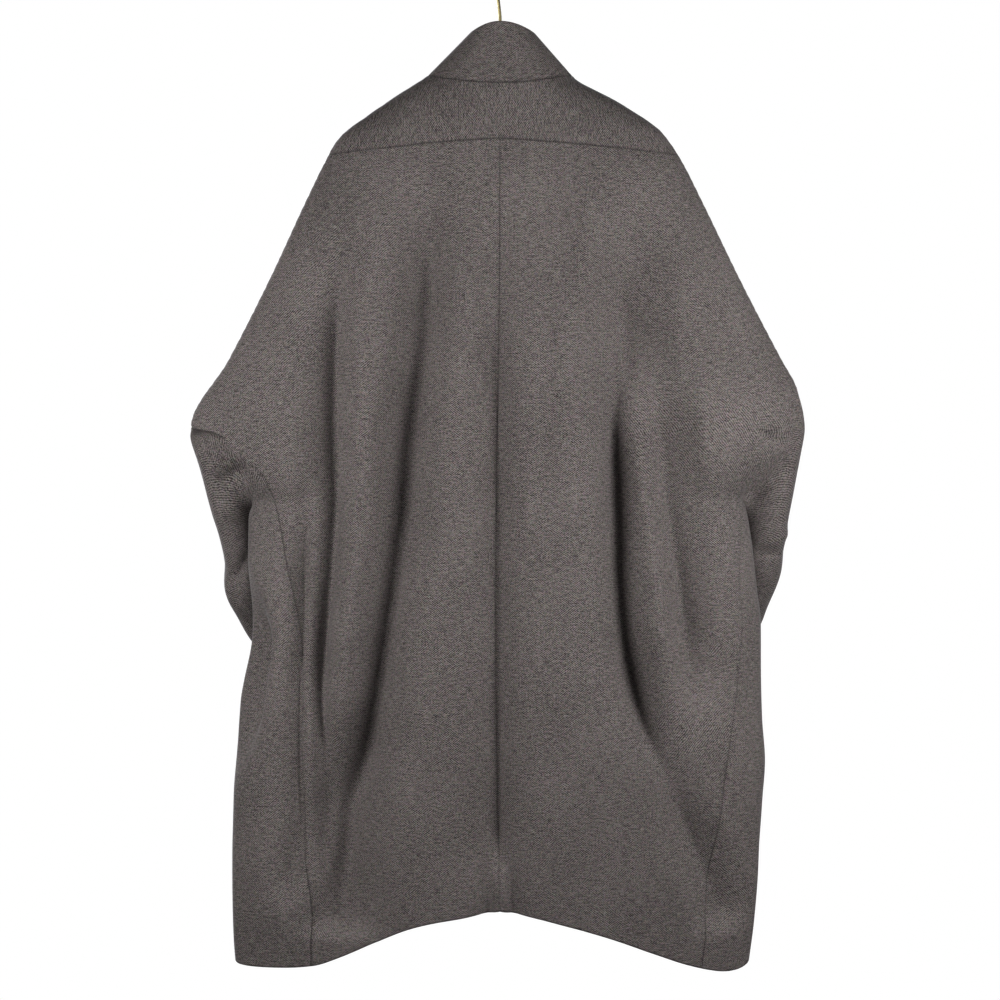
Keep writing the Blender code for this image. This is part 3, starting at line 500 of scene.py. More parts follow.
def neck_sweep(angle, side, face):
    """Sweep of the neck line at an angle from the centre line."""
    return np.arcsin(np.clip(NECK_REACH * np.sin(angle) / reach(neck(angle, face), side), 0, 1))


def mouth_drop(angle, side):
    """Drop on the folded edge at an angle from the elbow corner, half a turn at the underarm."""
    first, last = ELBOW_DROP[side], UNDERARM_DROP[side]
    return (first + last) / 2 - (last - first) / 2 * np.cos(angle)


def mouth_angle(drop, side):
    """Angle on the folded edge at a drop."""
    first, last = ELBOW_DROP[side], UNDERARM_DROP[side]
    return np.arccos(np.clip(((first + last) / 2 - drop) * 2 / (last - first), -1, 1))


def tip_angle(side):
    """Angle on the folded edge at which the side seams start."""
    return float(mouth_angle(np.array(TIP_DROP[side]), side))


def yoke_seam(sweep):
    """Drop of the seam under the yoke."""
    return YOKE_DROP + YOKE_END_DIP * np.sin(sweep) ** YOKE_CURVE


def hem(sweep, side, face):
    """Drop of the hem."""
    turn = sweep / math.pi if face == BACK else 1 - sweep / math.pi
    return smooth(HEM[side], turn)


def edge_sweep(drop, side):
    """Sweep at which a back or front panel ends: overarm seam, then folded edge, then side seam."""
    fold, seam = line_sweep(MOUTH, drop, side), line_sweep(SIDE_SEAM, drop, side)
    return np.where(drop <= ELBOW_DROP[side], QUARTER, np.where(drop <= TIP_DROP[side], fold, seam))


def column_sweep(u, drop, side, first):
    """Sweep of a back's or front's column, from a first reach at u 0 to the panel's edge at u 1."""
    width = reach(drop, side)
    edge = width * np.sin(edge_sweep(drop, side))
    inner = smooth(INNER_WIDTH, drop)
    x = first + (inner - first) * np.sin(u * QUARTER) + (edge - inner) * u ** 3
    return np.arcsin(np.clip(x / width, 0, 1))


def seam_end(side, face):
    """Drop and sweep at which the side seam meets the hem."""
    drop = np.array(HEM_GUESS)
    for _ in range(HEM_ROUNDS):
        drop = hem(edge_sweep(drop, side), side, face)
    return float(drop), float(edge_sweep(drop, side))


def collar_at(height, sweep, side, face):
    """Point of the collar: height 0 on the neck line and 1 at its top edge."""
    base = cloth_at(neck(sweep, face), neck_sweep(sweep, side, face), side, face)
    sine = np.sin(sweep)
    deep = np.sqrt(np.clip(1 - np.abs(sine) ** COLLAR_SQUARENESS, 0, 1))
    x, y = side * COLLAR_TOP_REACH[side] * sine, face * COLLAR_TOP_DEPTH[face] * deep
    top_drop = COLLAR_TOP_SIDE_DROP + COLLAR_TOP_DIP[face] * np.cos(sweep) ** 2
    top = np.stack([x, y, -top_drop], axis=-1)
    share = height[..., None]
    return base * (1 - share) + top * share


def close_lines(shares, length):
    """Row or column shares with close lines beside both ends of a panel of a length in millimetres."""
    near = np.array(EDGE_LINES) / length
    room = (EDGE_LINES[-1] + 1) / length
    middle = shares[(shares > room) & (shares < 1 - room)]
    return np.concatenate([[0], near, middle, 1 - near[::-1], [1]])


def even_lines(length, step):
    """Even shares of a length, closer at both ends."""
    return close_lines(np.linspace(0, 1, max(3, round(length / step)) + 1), length)


def grid_lines(spans, step):
    """Even columns and rows of a panel."""
    return [even_lines(span, step) for span in spans]


def edge_rows(first, side, face, step):
    """Row shares of a back or front, closer along the folded edge."""
    corner, tip, last = ELBOW_DROP[side], TIP_DROP[side], seam_end(side, face)[0]
    arm = np.linspace(first, corner, round((corner - first) / step), endpoint=False)
    mouth = mouth_drop(np.linspace(0, tip_angle(side), MOUTH_ROWS, endpoint=False), side)
    below = np.linspace(tip, last, round((last - tip) / step) + 1)
    drops = np.concatenate([arm, mouth, below])
    return close_lines((drops - first) / (last - first), last - first)


def outer_edges(first, side, face):
    """Overarm seam, fold and side seam of a back or front, as (edge, first share, last share, kind)."""
    corner, tip, last = ELBOW_DROP[side], TIP_DROP[side], seam_end(side, face)[0]
    elbow, underarm = [(drop - first) / (last - first) for drop in (corner, tip)]
    return [("end", 0, elbow, SEAM), ("end", elbow, underarm, HEMMED), ("end", underarm, 1, SOFT)]


def back_place(side):
    """Placing of a back: u from centre back to its edge, v from the yoke seam to the hem."""
    last = seam_end(side, BACK)[0]

    def place(u, v):
        top = yoke_seam(u * QUARTER)
        end = hem(column_sweep(u, np.full_like(u, last), side, 0), side, BACK)
        drop = top + (end - top) * v
        return cloth_at(drop, column_sweep(u, drop, side, 0), side, BACK)
    return place


def front_place(side):
    """Placing of a front: u from the front edge to its side, v from the neck to the hem."""
    last = seam_end(side, FRONT)[0]
    first_angle = math.asin(FRONT_EDGE / NECK_REACH)

    def place(u, v):
        angle = first_angle + u * (QUARTER - first_angle)
        top = neck(angle, FRONT)
        end = hem(column_sweep(u, np.full_like(u, last), side, FRONT_EDGE), side, FRONT)
        drop = top + (end - top) * v
        sweep = column_sweep(u, drop, side, FRONT_EDGE)
        ease = np.clip(v / NECK_EASE, 0, 1)
        sweep = sweep + (neck_sweep(angle, side, FRONT) - sweep) * (1 - ease) ** 2
        return cloth_at(drop, sweep, side, FRONT)
    return place


def side_place(side):
    """Placing of a side panel: u from the side-back to the side-front seam, v from underarm to hem."""
    first = tip_angle(side)

    def half(u, v, face):
        share = np.clip(2 * u, 0, 1)
        hem_sweep = seam_end(side, face)[1]
        top = mouth_drop(first + (math.pi - first) * share, side)
        end = hem(hem_sweep + (QUARTER - hem_sweep) * share, side, face)
        drop = top + (end - top) * v
        seam = line_sweep(SIDE_SEAM, drop, side)
        rim = np.where(drop >= UNDERARM_DROP[side], QUARTER, line_sweep(MOUTH, drop, side))
        ready = (mouth_angle(drop, side) - first) / (math.pi - first)
        sweep = seam + (rim - seam) * np.clip(share / np.clip(ready, 1e-6, 1), 0, 1)
        return cloth_at(drop, sweep, side, face)

    def place(u, v):
        return np.where((u < 0.5)[..., None], half(u, v, BACK), half(1 - u, v, FRONT))
    return place


def yoke_place(u, v):
    """Placing of the yoke: u from the left to the right shoulder ridge, v from neck to yoke seam."""
    angle = np.abs(2 * u - 1) * QUARTER
    top, end = neck(angle, BACK), yoke_seam(angle)
    drop = top + (end - top) * v
    halves = []
    for side in (LEFT, RIGHT):
        start = neck_sweep(angle, side, BACK)
        sweep = start + (column_sweep(angle / QUARTER, drop, side, 0) - start) * v
        halves.append(cloth_at(drop, sweep, side, BACK))
    return np.where((u < 0.5)[..., None], *halves)


def collar_place(u, v):
    """Placing of the collar: u from the left front edge round the back to the right, v upward."""
    half = np.abs(2 * u - 1)
    points = np.zeros(u.shape + (3,))
    for side in (LEFT, RIGHT):
        width = NECK_REACH * (1 - v) + COLLAR_TOP_REACH[side] * v
        first = np.arcsin(FRONT_EDGE / width)
        back = np.clip(2 * half, 0, 1) * QUARTER
        front = QUARTER - np.clip(2 * half - 1, 0, 1) * (QUARTER - first)
        for face, angle in ((BACK, back), (FRONT, front)):
            here = collar_at(v, angle, side, face)
            mine = ((u < 0.5) == (side == LEFT)) & ((half <= 0.5) == (face == BACK))
            points[mine] = here[mine]
    return points


def sleeve_rings(side, around):
    """Rings of a lower sleeve, from just under the folded edge to the cuff."""
    drop = mouth_drop(around, side)
    sweep = line_sweep(MOUTH, drop, side)
    slope = smooth(MOUTH[side], drop + 1) - smooth(MOUTH[side], drop - 1)
    away = np.stack([side * 2 + 0 * slope, 0 * slope, slope], axis=-1)
    away /= np.linalg.norm(away, axis=-1, keepdims=True)
    sink = bpy.context.scene.cocoon_cloth.wall / MM + TUCK_CLEAR
    under = np.exp(-((around - math.pi) / UNDERARM_TURN) ** 4)[:, None]
    flush = np.exp(-((math.pi - np.abs(around - math.pi)) / ELBOW_TURN) ** 2)[:, None]
    halves = []
    for face in (BACK, FRONT):
        normal = outward(drop, sweep, side, face)
        tuck = (1 - flush) * (SLEEVE_TUCK * away + sink * normal)
        behind = UNDERARM_IN * normal + (0, 0, UNDERARM_DOWN)
        halves.append(cloth_at(drop, sweep, side, face) - (1 - under) * tuck - under * behind)
    rings = [np.where((around <= math.pi)[:, None], *halves)]
    for out, out_drop, inn, inn_drop, thick, forward, tilt in SLEEVE[side]:
        middle = np.array([side * (out + inn) / 2, forward, -(out_drop + inn_drop) / 2])
        long = np.array([side * (out - inn) / 2, 0, -(out_drop - inn_drop) / 2])
        lean = math.radians(tilt)
        short = thick * np.array([0, -math.cos(lean), -math.sin(lean)])
        rings.append(middle + long * np.cos(around)[:, None] + short * np.sin(around)[:, None])
    return np.array(rings)


def sleeve_place(side):
    """Placing of a lower sleeve: u round the arm, v from the folded edge to the cuff."""
    def place(u, v):
        rings = sleeve_rings(side, u[0] * 2 * math.pi)
        middles = rings.mean(axis=1)
        knots = np.concatenate([[0], np.cumsum(np.linalg.norm(np.diff(middles, axis=0), axis=-1))])
        knots = knots / knots[-1]
        tangents = np.gradient(rings, knots, axis=0)
        at = v[:, 0]
        i = np.clip(np.searchsorted(knots, at) - 1, 0, len(knots) - 2)
        span = (knots[i + 1] - knots[i])[:, None, None]
        t = ((at - knots[i]) / (knots[i + 1] - knots[i]))[:, None, None]
        ease = t * t * (3 - 2 * t)
        start, end = t * (1 - t) ** 2 * span * tangents[i], t * t * (t - 1) * span * tangents[i + 1]
        return rings[i] * (1 - ease) + rings[i + 1] * ease + start + end
    return place


def sleeve_relief(side):
    """Creases of a lower sleeve on its side towards the back."""
    def rise(points, u):
        height = np.zeros(points.shape[:2])
        behind = np.clip(np.sin(u * 2 * math.pi) * 2, 0, 1)
        for on, *shape in SLEEVE_CREASES:
            if on == side:
                height += behind * crease(points[..., 0], -points[..., 2], *shape)
        for along_x, along_drop, phase, lift in WAVES:
            turn = points[..., 1] / abs(along_x) + points[..., 2] / along_drop
            height += lift * np.sin(2 * math.pi * turn + phase) * (1 - behind)
        return height
    return rise


def grid_normals(points, closed):
    """Unit normals of a grid of points, pointing away from its middle line."""
    wide = np.concatenate([points[:, -2:-1], points, points[:, 1:2]], axis=1) if closed else points
    across = np.gradient(wide, axis=1)
    across = across[:, 1:-1] if closed else across
    normals = np.cross(across, np.gradient(points, axis=0))
    normals /= np.maximum(np.linalg.norm(normals, axis=-1, keepdims=True), 1e-9)
    middle = points.mean(axis=1, keepdims=True) if closed else points * (0, 0, 1)
    return normals * np.sign((normals * (points - middle)).sum())


def edge_distance(points, line):
    """Distance of each point of a grid from an edge, in millimetres."""
    steps = np.linalg.norm(np.diff(line, axis=0), axis=-1)
    tree = kdtree.KDTree(sum(max(1, math.ceil(step)) for step in steps) + 1)
    for start, end, step in zip(line[:-1], line[1:], steps):
        for share in np.linspace(0, 1, max(1, math.ceil(step)), endpoint=False):
            tree.insert(start + (end - start) * share, 0)
    tree.insert(line[-1], 0)
    tree.balance()
    flat = [tree.find(point)[2] for point in points.reshape(-1, 3)]
    return np.array(flat).reshape(points.shape[:2])


def roll(distance, radius):
    """How far a rounded edge falls away at a distance from it."""
    short = np.clip(radius - distance, 0, radius)
    return radius - np.sqrt(radius ** 2 - short ** 2)


def whole(**kinds):
    """Edges of a panel that are of one kind all along."""
    return [(edge, 0, 1, kind) for edge, kind in kinds.items()]


def lay_cloth(piece, place, columns, rows, edges, rise=None, level=True, turned=False, closed=False,
              middle=False):
    """Lays a panel on the jacket as a closed wall with rolled edges, woven along its own cloth map."""
    cloth = bpy.context.scene.cocoon_cloth
    wall, radius, pucker = cloth.wall / MM, cloth.seam_roll / MM, cloth.pucker / MM
    u, v = np.meshgrid(columns, rows)
    points = place(u, v)
    normals = grid_normals(points, closed)
    if rise:
        points = points + rise(points, u)[..., None] * normals
        normals = grid_normals(points, closed)
    across = np.zeros(u.shape)
    across[:, 1:] = np.cumsum(np.linalg.norm(np.diff(points, axis=1), axis=-1), axis=1)
    if middle:
        across -= across[:, len(columns) // 2, None]
    down = np.zeros(u.shape)
    down[1:] = np.cumsum(np.linalg.norm(np.diff(points, axis=0), axis=-1), axis=0)
    lines = {"top": points[0], "bottom": points[-1], "start": points[:, 0], "end": points[:, -1]}
    outer, inner, seam = np.zeros(u.shape), np.full(u.shape, wall), np.zeros(u.shape)
    for word, first, last, kind in edges:
        shares = columns if word in ("top", "bottom") else rows
        distance = edge_distance(points, lines[word][(shares >= first) & (shares <= last)])
        if kind == HEMMED:
            fall = roll(distance, wall / 2)
            outer, inner = np.maximum(outer, fall), np.minimum(inner, wall - fall)
        else:
            share = 1.0 if kind == SEAM else SOFT_SHARE
            outer = np.maximum(outer, roll(distance, radius * share))
            along = down if word in ("start", "end") else across
            turn = along * GATHER_TURN + GATHER_STRAY[0] * np.sin(along / GATHER_STRAY[1])
            gather = np.sin(turn) * np.exp(-((distance - GATHER_AWAY[0]) / GATHER_AWAY[1]) ** 2)
            outer = outer - pucker * gather
            # seam holds the painted shade of the seam's groove: a share by which the wool's colour darkens to
            # the dark yarn
            seam = np.maximum(seam, share * np.exp(-(distance / SEAM_SPREAD) ** 2))
    layers = np.stack([points - outer[..., None] * normals, points - inner[..., None] * normals]) * MM
    if closed:
        across, down = np.meshgrid(across.mean(axis=0), down.mean(axis=1))
    weave = np.stack([across, -points[..., 2] if level else down], axis=-1) * MM
    weave = weave[..., ::-1] if turned else weave
    weave = weave + (list(CUT).index(piece) * BOLT_STEP, 0)

    mesh = bmesh.new()
    bmesh.ops.create_grid(mesh, x_segments=len(columns) - 1, y_segments=len(rows) - 1, size=0.5)
    lid = bmesh.ops.extrude_face_region(mesh, geom=mesh.faces[:], use_keep_orig=True)
    raised = [item for item in lid["geom"] if isinstance(item, bmesh.types.BMVert)]
    bmesh.ops.translate(mesh, verts=raised, vec=(0, 0, 1))
    spots = np.array([vert.co for vert in mesh.verts])
    i = np.rint((spots[:, 0] + 0.5) * (len(columns) - 1)).astype(int)
    j = np.rint((spots[:, 1] + 0.5) * (len(rows) - 1)).astype(int)
    w = np.rint(spots[:, 2]).astype(int)
    mesh.verts.index_update()
    cloth_map = mesh.loops.layers.uv.new("cloth")
    # Layer of the painted shade along the seams, read by the wool's colour
    seam_shade_layer = mesh.verts.layers.float.new("seam")
    for vert, point, seam_shade_share in zip(mesh.verts, layers[w, j, i], seam[j, i] * (1 - w)):
        vert.co = point
        vert[seam_shade_layer] = seam_shade_share
    spread = weave[j, i]
    for face in mesh.faces:
        face.smooth = True
        face.material_index = int(all(w[vert.index] for vert in face.verts))
        for loop in face.loops:
            loop[cloth_map].uv = spread[loop.vert.index]
    if closed:
        ends = [face for face in mesh.faces if len({i[vert.index] for vert in face.verts}) == 1]
        bmesh.ops.delete(mesh, geom=ends, context="FACES")
        bmesh.ops.remove_doubles(mesh, verts=mesh.verts[:], dist=WELD)
    bmesh.ops.recalc_face_normals(mesh, faces=mesh.faces[:])
    if mesh.calc_volume(signed=True) < 0:
        bmesh.ops.reverse_faces(mesh, faces=mesh.faces[:])
    made = add_object("cloth_" + piece, mesh, [wool_twill(), satin_lining()])
    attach(made, BODY)
    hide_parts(piece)


def add_object(name, mesh, materials):
    """Turns a bmesh into an object of the scene."""
    data = bpy.data.meshes.new(name)
    mesh.to_mesh(data)
    mesh.free()
    for material in materials:
        data.materials.append(material)
    made = bpy.data.objects.new(name, data)
    bpy.context.scene.collection.objects.link(made)
    return made


def add_node(tree, kind, inputs=None, **settings):
    """Adds a shader node with its settings; an input takes a value, an output or a node's first output."""
    made = tree.nodes.new("ShaderNode" + kind)
    for name, value in settings.items():
        setattr(made, name, value)
    for name, value in (inputs or {}).items():
        value = value.outputs[0] if isinstance(value, bpy.types.Node) else value
        if isinstance(value, bpy.types.NodeSocket):
            tree.links.new(value, made.inputs[name])
        else:
            made.inputs[name].default_value = value
    return made


def new_material(name, **sockets):
    """Principled material with constant sockets set; gives the material, its tree and its shader."""
    made = bpy.data.materials.new(name)
    made.use_nodes = True
    shader = made.node_tree.nodes["Principled BSDF"]
    for socket, value in sockets.items():
        shader.inputs[socket.replace("_", " ")].default_value = value
    return made, made.node_tree, shader


def tint(tree, shader, share, colour, dark, light):
    """Colours a shader between a darker and a lighter share of a colour."""
    first, last = [(*[min(1, c * part) for c in colour], 1) for part in (dark, light)]
    shade = add_node(tree, "Mix", {0: share, 6: first, 7: last}, data_type="RGBA")
    tree.links.new(shade.outputs[2], shader.inputs["Base Color"])


def wool_twill():
    """Wool twill of mixed grey-brown yarns, woven in small diamonds and brushed.

    To the eye: a speckled heather with short streaks along the weft, a fine diamond grain, no gloss, and a
    cool haze of fibre ends where the cloth turns away. Along the seams, painted shade darkens it to the dark
    yarn.
    """
    found = bpy.data.materials.get("wool_twill")
    if found:
        return found
    cloth, colours = bpy.context.scene.cocoon_cloth, bpy.context.scene.cocoon_colours
    made, tree, shader = new_material("wool_twill", Roughness=0.95, Sheen_Weight=0.3, Sheen_Roughness=0.25,
                                      Sheen_Tint=(*colours.nap, 1), Specular_IOR_Level=0.15)
    uv = add_node(tree, "UVMap", uv_map="cloth")
    mm = add_node(tree, "Mapping", {"Vector": uv, "Scale": (1000, 1000, 1000)})
    wander = add_node(tree, "TexNoise", {"Vector": mm, "Scale": 0.07, "Detail": 1.0})
    shift = add_node(tree, "VectorMath", {0: wander.outputs["Color"], 1: (0.5, 0.5, 0.5)},
                     operation="SUBTRACT")
    moved = add_node(tree, "VectorMath", {0: shift, 1: (4, 4, 0), 2: mm}, operation="MULTIPLY_ADD")
    place = add_node(tree, "SeparateXYZ", {0: moved})
    turns = [add_node(tree, "Math", {0: place.outputs[k], 1: 2 * math.pi * MM / pitch}, operation="MULTIPLY")
             for k, pitch in enumerate((cloth.pitch_across, cloth.pitch_along))]
    slants = [add_node(tree, "Math", {0: turns[0], 1: turns[1]}, operation=way)
              for way in ("ADD", "SUBTRACT")]
    ribs = [add_node(tree, "Math", {0: slant}, operation="SINE") for slant in slants]
    patch = add_node(tree, "TexNoise", {"Vector": mm, "Scale": 0.05, "Detail": 2.0})
    diamonds = add_node(tree, "Mix", {0: patch, 2: ribs[0], 3: ribs[1]}, data_type="FLOAT")
    weft_way = add_node(tree, "Mapping", {"Vector": mm, "Scale": (0.09, 0.62, 1)})
    warp_way = add_node(tree, "Mapping", {"Vector": mm, "Scale": (0.62, 0.12, 1)})
    weft, warp = [add_node(tree, "TexNoise", {"Vector": way, "Scale": 1.0, "Detail": 2.0})
                  for way in (weft_way, warp_way)]
    fibre = add_node(tree, "TexNoise", {"Vector": mm, "Scale": 0.45, "Detail": 3.0, "Roughness": 0.75})
    cloudy = add_node(tree, "TexNoise", {"Vector": mm, "Scale": 0.011, "Detail": 3.0})
    shares = [(diamonds, 0.5, 0), (weft, 1.0, 0.5), (warp, 0.5, 0.5), (fibre, 2.1, 0.5), (cloudy, 0.25, 0.5)]
    tone = 0.5 - sum(share * middle for _, share, middle in shares)
    for source, share, _ in shares:
        tone = add_node(tree, "Math", {0: source, 1: share, 2: tone}, operation="MULTIPLY_ADD")
    dark, light = (*colours.yarn_dark, 1), (*colours.yarn_light, 1)
    yarn = add_node(tree, "Mix", {0: tone, 6: dark, 7: light}, data_type="RGBA")
    fleck = add_node(tree, "TexNoise", {"Vector": mm, "Scale": 0.33, "Detail": 1.0})
    mixed = add_node(tree, "Mix", {0: 0.17, 6: yarn.outputs[2], 7: fleck.outputs["Color"]},
                     data_type="RGBA", blend_type="OVERLAY")
    # Painted shade of the seams' grooves: the colour darkens towards the dark yarn along each seam
    seam_shade_share = add_node(tree, "Attribute", attribute_name="seam")
    pressed = add_node(tree, "Math", {0: seam_shade_share.outputs["Fac"], 1: 0.35}, operation="MULTIPLY")
    seam_shaded = add_node(tree, "Mix", {0: pressed, 6: mixed.outputs[2], 7: dark}, data_type="RGBA")
    tree.links.new(seam_shaded.outputs[2], shader.inputs["Base Color"])
    grain = add_node(tree, "Math", {0: diamonds, 1: 0.25, 2: fibre}, operation="MULTIPLY_ADD")
    bump = add_node(tree, "Bump", {"Strength": 0.25, "Distance": 0.0008, "Height": grain})
    tree.links.new(bump.outputs[0], shader.inputs["Normal"])
    return made


def satin_lining():
    """Satin lining of smooth filament yarn: a soft gloss that runs along fine floats."""
    found = bpy.data.materials.get("satin_lining")
    if found:
        return found
    made, tree, shader = new_material("satin_lining", Roughness=0.42, Specular_IOR_Level=0.4)
    colour = bpy.context.scene.cocoon_colours.lining
    uv = add_node(tree, "UVMap", uv_map="cloth")
    floats = add_node(tree, "Mapping", {"Vector": uv, "Scale": (900, 70, 1)})
    yarn = add_node(tree, "TexNoise", {"Vector": floats, "Scale": 1.0, "Detail": 2.0})
    tint(tree, shader, yarn, colour, 0.7, 1.3)
    bump = add_node(tree, "Bump", {"Strength": 0.3, "Distance": 0.0002, "Height": yarn})
    tree.links.new(bump.outputs[0], shader.inputs["Normal"])
    return made


def woven_tape():
    """Woven polyester zip tape: a close herringbone with a dull face."""
    made, tree, shader = new_material("woven_tape", Roughness=0.8)
    colour = bpy.context.scene.cocoon_colours.tape
    place = add_node(tree, "TexCoord")
    wave = {"Vector": place.outputs["Object"], "Scale": 160.0, "Distortion": 0.4}
    rib = add_node(tree, "TexWave", wave, wave_type="BANDS", bands_direction="DIAGONAL")
    tint(tree, shader, rib.outputs["Fac"], colour, 0.6, 1.3)
    bump = add_node(tree, "Bump", {"Strength": 0.5, "Distance": 0.0003, "Height": rib.outputs["Fac"]})
    tree.links.new(bump.outputs[0], shader.inputs["Normal"])
    return made


def worn_metal(name, colour, rough):
    """Satin or antique brass: rubbed bright on the whole, with darker tarnish in patches."""
    made, tree, shader = new_material(name, Metallic=1.0)
    place = add_node(tree, "TexCoord")
    tarnish = add_node(tree, "TexNoise", {"Vector": place.outputs["Object"], "Scale": 260.0, "Detail": 4.0})
    tint(tree, shader, tarnish, colour, 0.45, 1.3)
    dull = add_node(tree, "MapRange", {"Value": tarnish, "To Min": rough + 0.15, "To Max": rough - 0.1})
    tree.links.new(dull.outputs[0], shader.inputs["Roughness"])
    return made


def lacquered_beech():
    """Turned and lacquered beech: pale, with short dark flecks along the grain under a thin gloss."""
    made, tree, shader = new_material("lacquered_beech", Roughness=0.38, Coat_Weight=0.3, Coat_Roughness=0.2)
    colour = bpy.context.scene.cocoon_colours.wood
    place = add_node(tree, "TexCoord")
    along = add_node(tree, "Mapping", {"Vector": place.outputs["Object"], "Scale": (40, 500, 500)})
    grain = add_node(tree, "TexNoise", {"Vector": along, "Scale": 1.0, "Detail": 4.0})
    tint(tree, shader, grain, colour, 0.6, 1.25)
    return made


class COCOON_OT_backs(bpy.types.Operator):
    """Lays the two backs, each cut in one with its upper sleeve, and the yoke above them"""
    bl_idname = "cocoon.backs"
    bl_label = "Backs and yoke"

    def execute(self, context):
        step = context.scene.cocoon_cloth.step / MM
        seams = whole(top=SEAM, start=SOFT, bottom=HEMMED)
        first = float(yoke_seam(np.array(QUARTER)))
        for side, word in SIDES:
            lay_cloth("back_" + word, back_place(side), even_lines(BODY_SPAN, step),
                      edge_rows(first, side, BACK, step), seams + outer_edges(first, side, BACK))
        seams = whole(top=SEAM, start=SEAM, end=SEAM, bottom=SEAM)
        lay_cloth("back_yoke", yoke_place, *grid_lines(YOKE_SPAN, step), seams, turned=True, middle=True)
        return {"FINISHED"}


class COCOON_OT_sides(bpy.types.Operator):
    """Lays the two side panels between the side seams"""
    bl_idname = "cocoon.sides"
    bl_label = "Side panels"

    def execute(self, context):
        step = context.scene.cocoon_cloth.step / MM
        seams = whole(top=SOFT, start=SOFT, end=SOFT, bottom=HEMMED)
        for side, word in SIDES:
            lay_cloth("side_" + word, side_place(side), *grid_lines(SIDE_SPAN, step), seams)
        return {"FINISHED"}


class COCOON_OT_fronts(bpy.types.Operator):
    """Lays the two fronts, each cut in one with its upper sleeve"""
    bl_idname = "cocoon.fronts"
    bl_label = "Fronts"

    def execute(self, context):
        step = context.scene.cocoon_cloth.step / MM
        seams = whole(top=SEAM, start=HEMMED, bottom=HEMMED)
        for side, word in SIDES:
            lay_cloth("front_" + word, front_place(side), even_lines(BODY_SPAN, step),
                      edge_rows(NECK_SIDE_DROP, side, FRONT, step),
                      seams + outer_edges(NECK_SIDE_DROP, side, FRONT))
        return {"FINISHED"}


class COCOON_OT_collar(bpy.types.Operator):
    """Lays the stand collar from front edge to front edge"""
    bl_idname = "cocoon.collar"
    bl_label = "Collar"

    def execute(self, context):
        step = context.scene.cocoon_cloth.step / MM * COLLAR_STEP_SHARE
        seams = whole(top=SEAM, start=HEMMED, end=HEMMED, bottom=HEMMED)
        lay_cloth("collar", collar_place, *grid_lines(COLLAR_SPAN, step), seams, level=False, middle=True)
        return {"FINISHED"}


class COCOON_OT_sleeves(bpy.types.Operator):
    """Lays the lower sleeves as tubes from the folded edges to the cuffs"""
    bl_idname = "cocoon.sleeves"
    bl_label = "Lower sleeves"

    def execute(self, context):
        step = context.scene.cocoon_cloth.step / MM
        around = np.linspace(0, 1, SLEEVE_COLUMNS)
        for side, word in SIDES:
            lay_cloth("sleeve_" + word, sleeve_place(side), around, even_lines(SLEEVE_SPAN, step),
                      whole(bottom=HEMMED), rise=sleeve_relief(side), level=False, closed=True)
        return {"FINISHED"}


def front_line(along, depth):
    """Points of the collar's and the fronts' centre line, moved in by a depth, and the line's slope there."""
    def line(at):
        share = np.clip(at / ZIP_COLLAR_SHARE, 0, 1)
        lower = np.clip((at - ZIP_COLLAR_SHARE) / (1 - ZIP_COLLAR_SHARE), 0, 1)
        start, end = NECK_SIDE_DROP + NECK_FRONT_DIP, HEM[RIGHT][-1][1] - ZIP_ABOVE_HEM
        flat = np.zeros_like(at)
        collar = collar_at(1 - share, flat, RIGHT, FRONT)
        front = cloth_at(start + (end - start) * lower, flat, RIGHT, FRONT)
        return np.where((at < ZIP_COLLAR_SHARE)[..., None], collar, front)
    slope = line(along + ZIP_SLOPE_STEP) - line(along - ZIP_SLOPE_STEP)
    normal = np.stack([0 * along, -slope[..., 2], slope[..., 1]], axis=-1)
    normal /= np.linalg.norm(normal, axis=-1, keepdims=True)
    return line(along) - depth * normal, slope


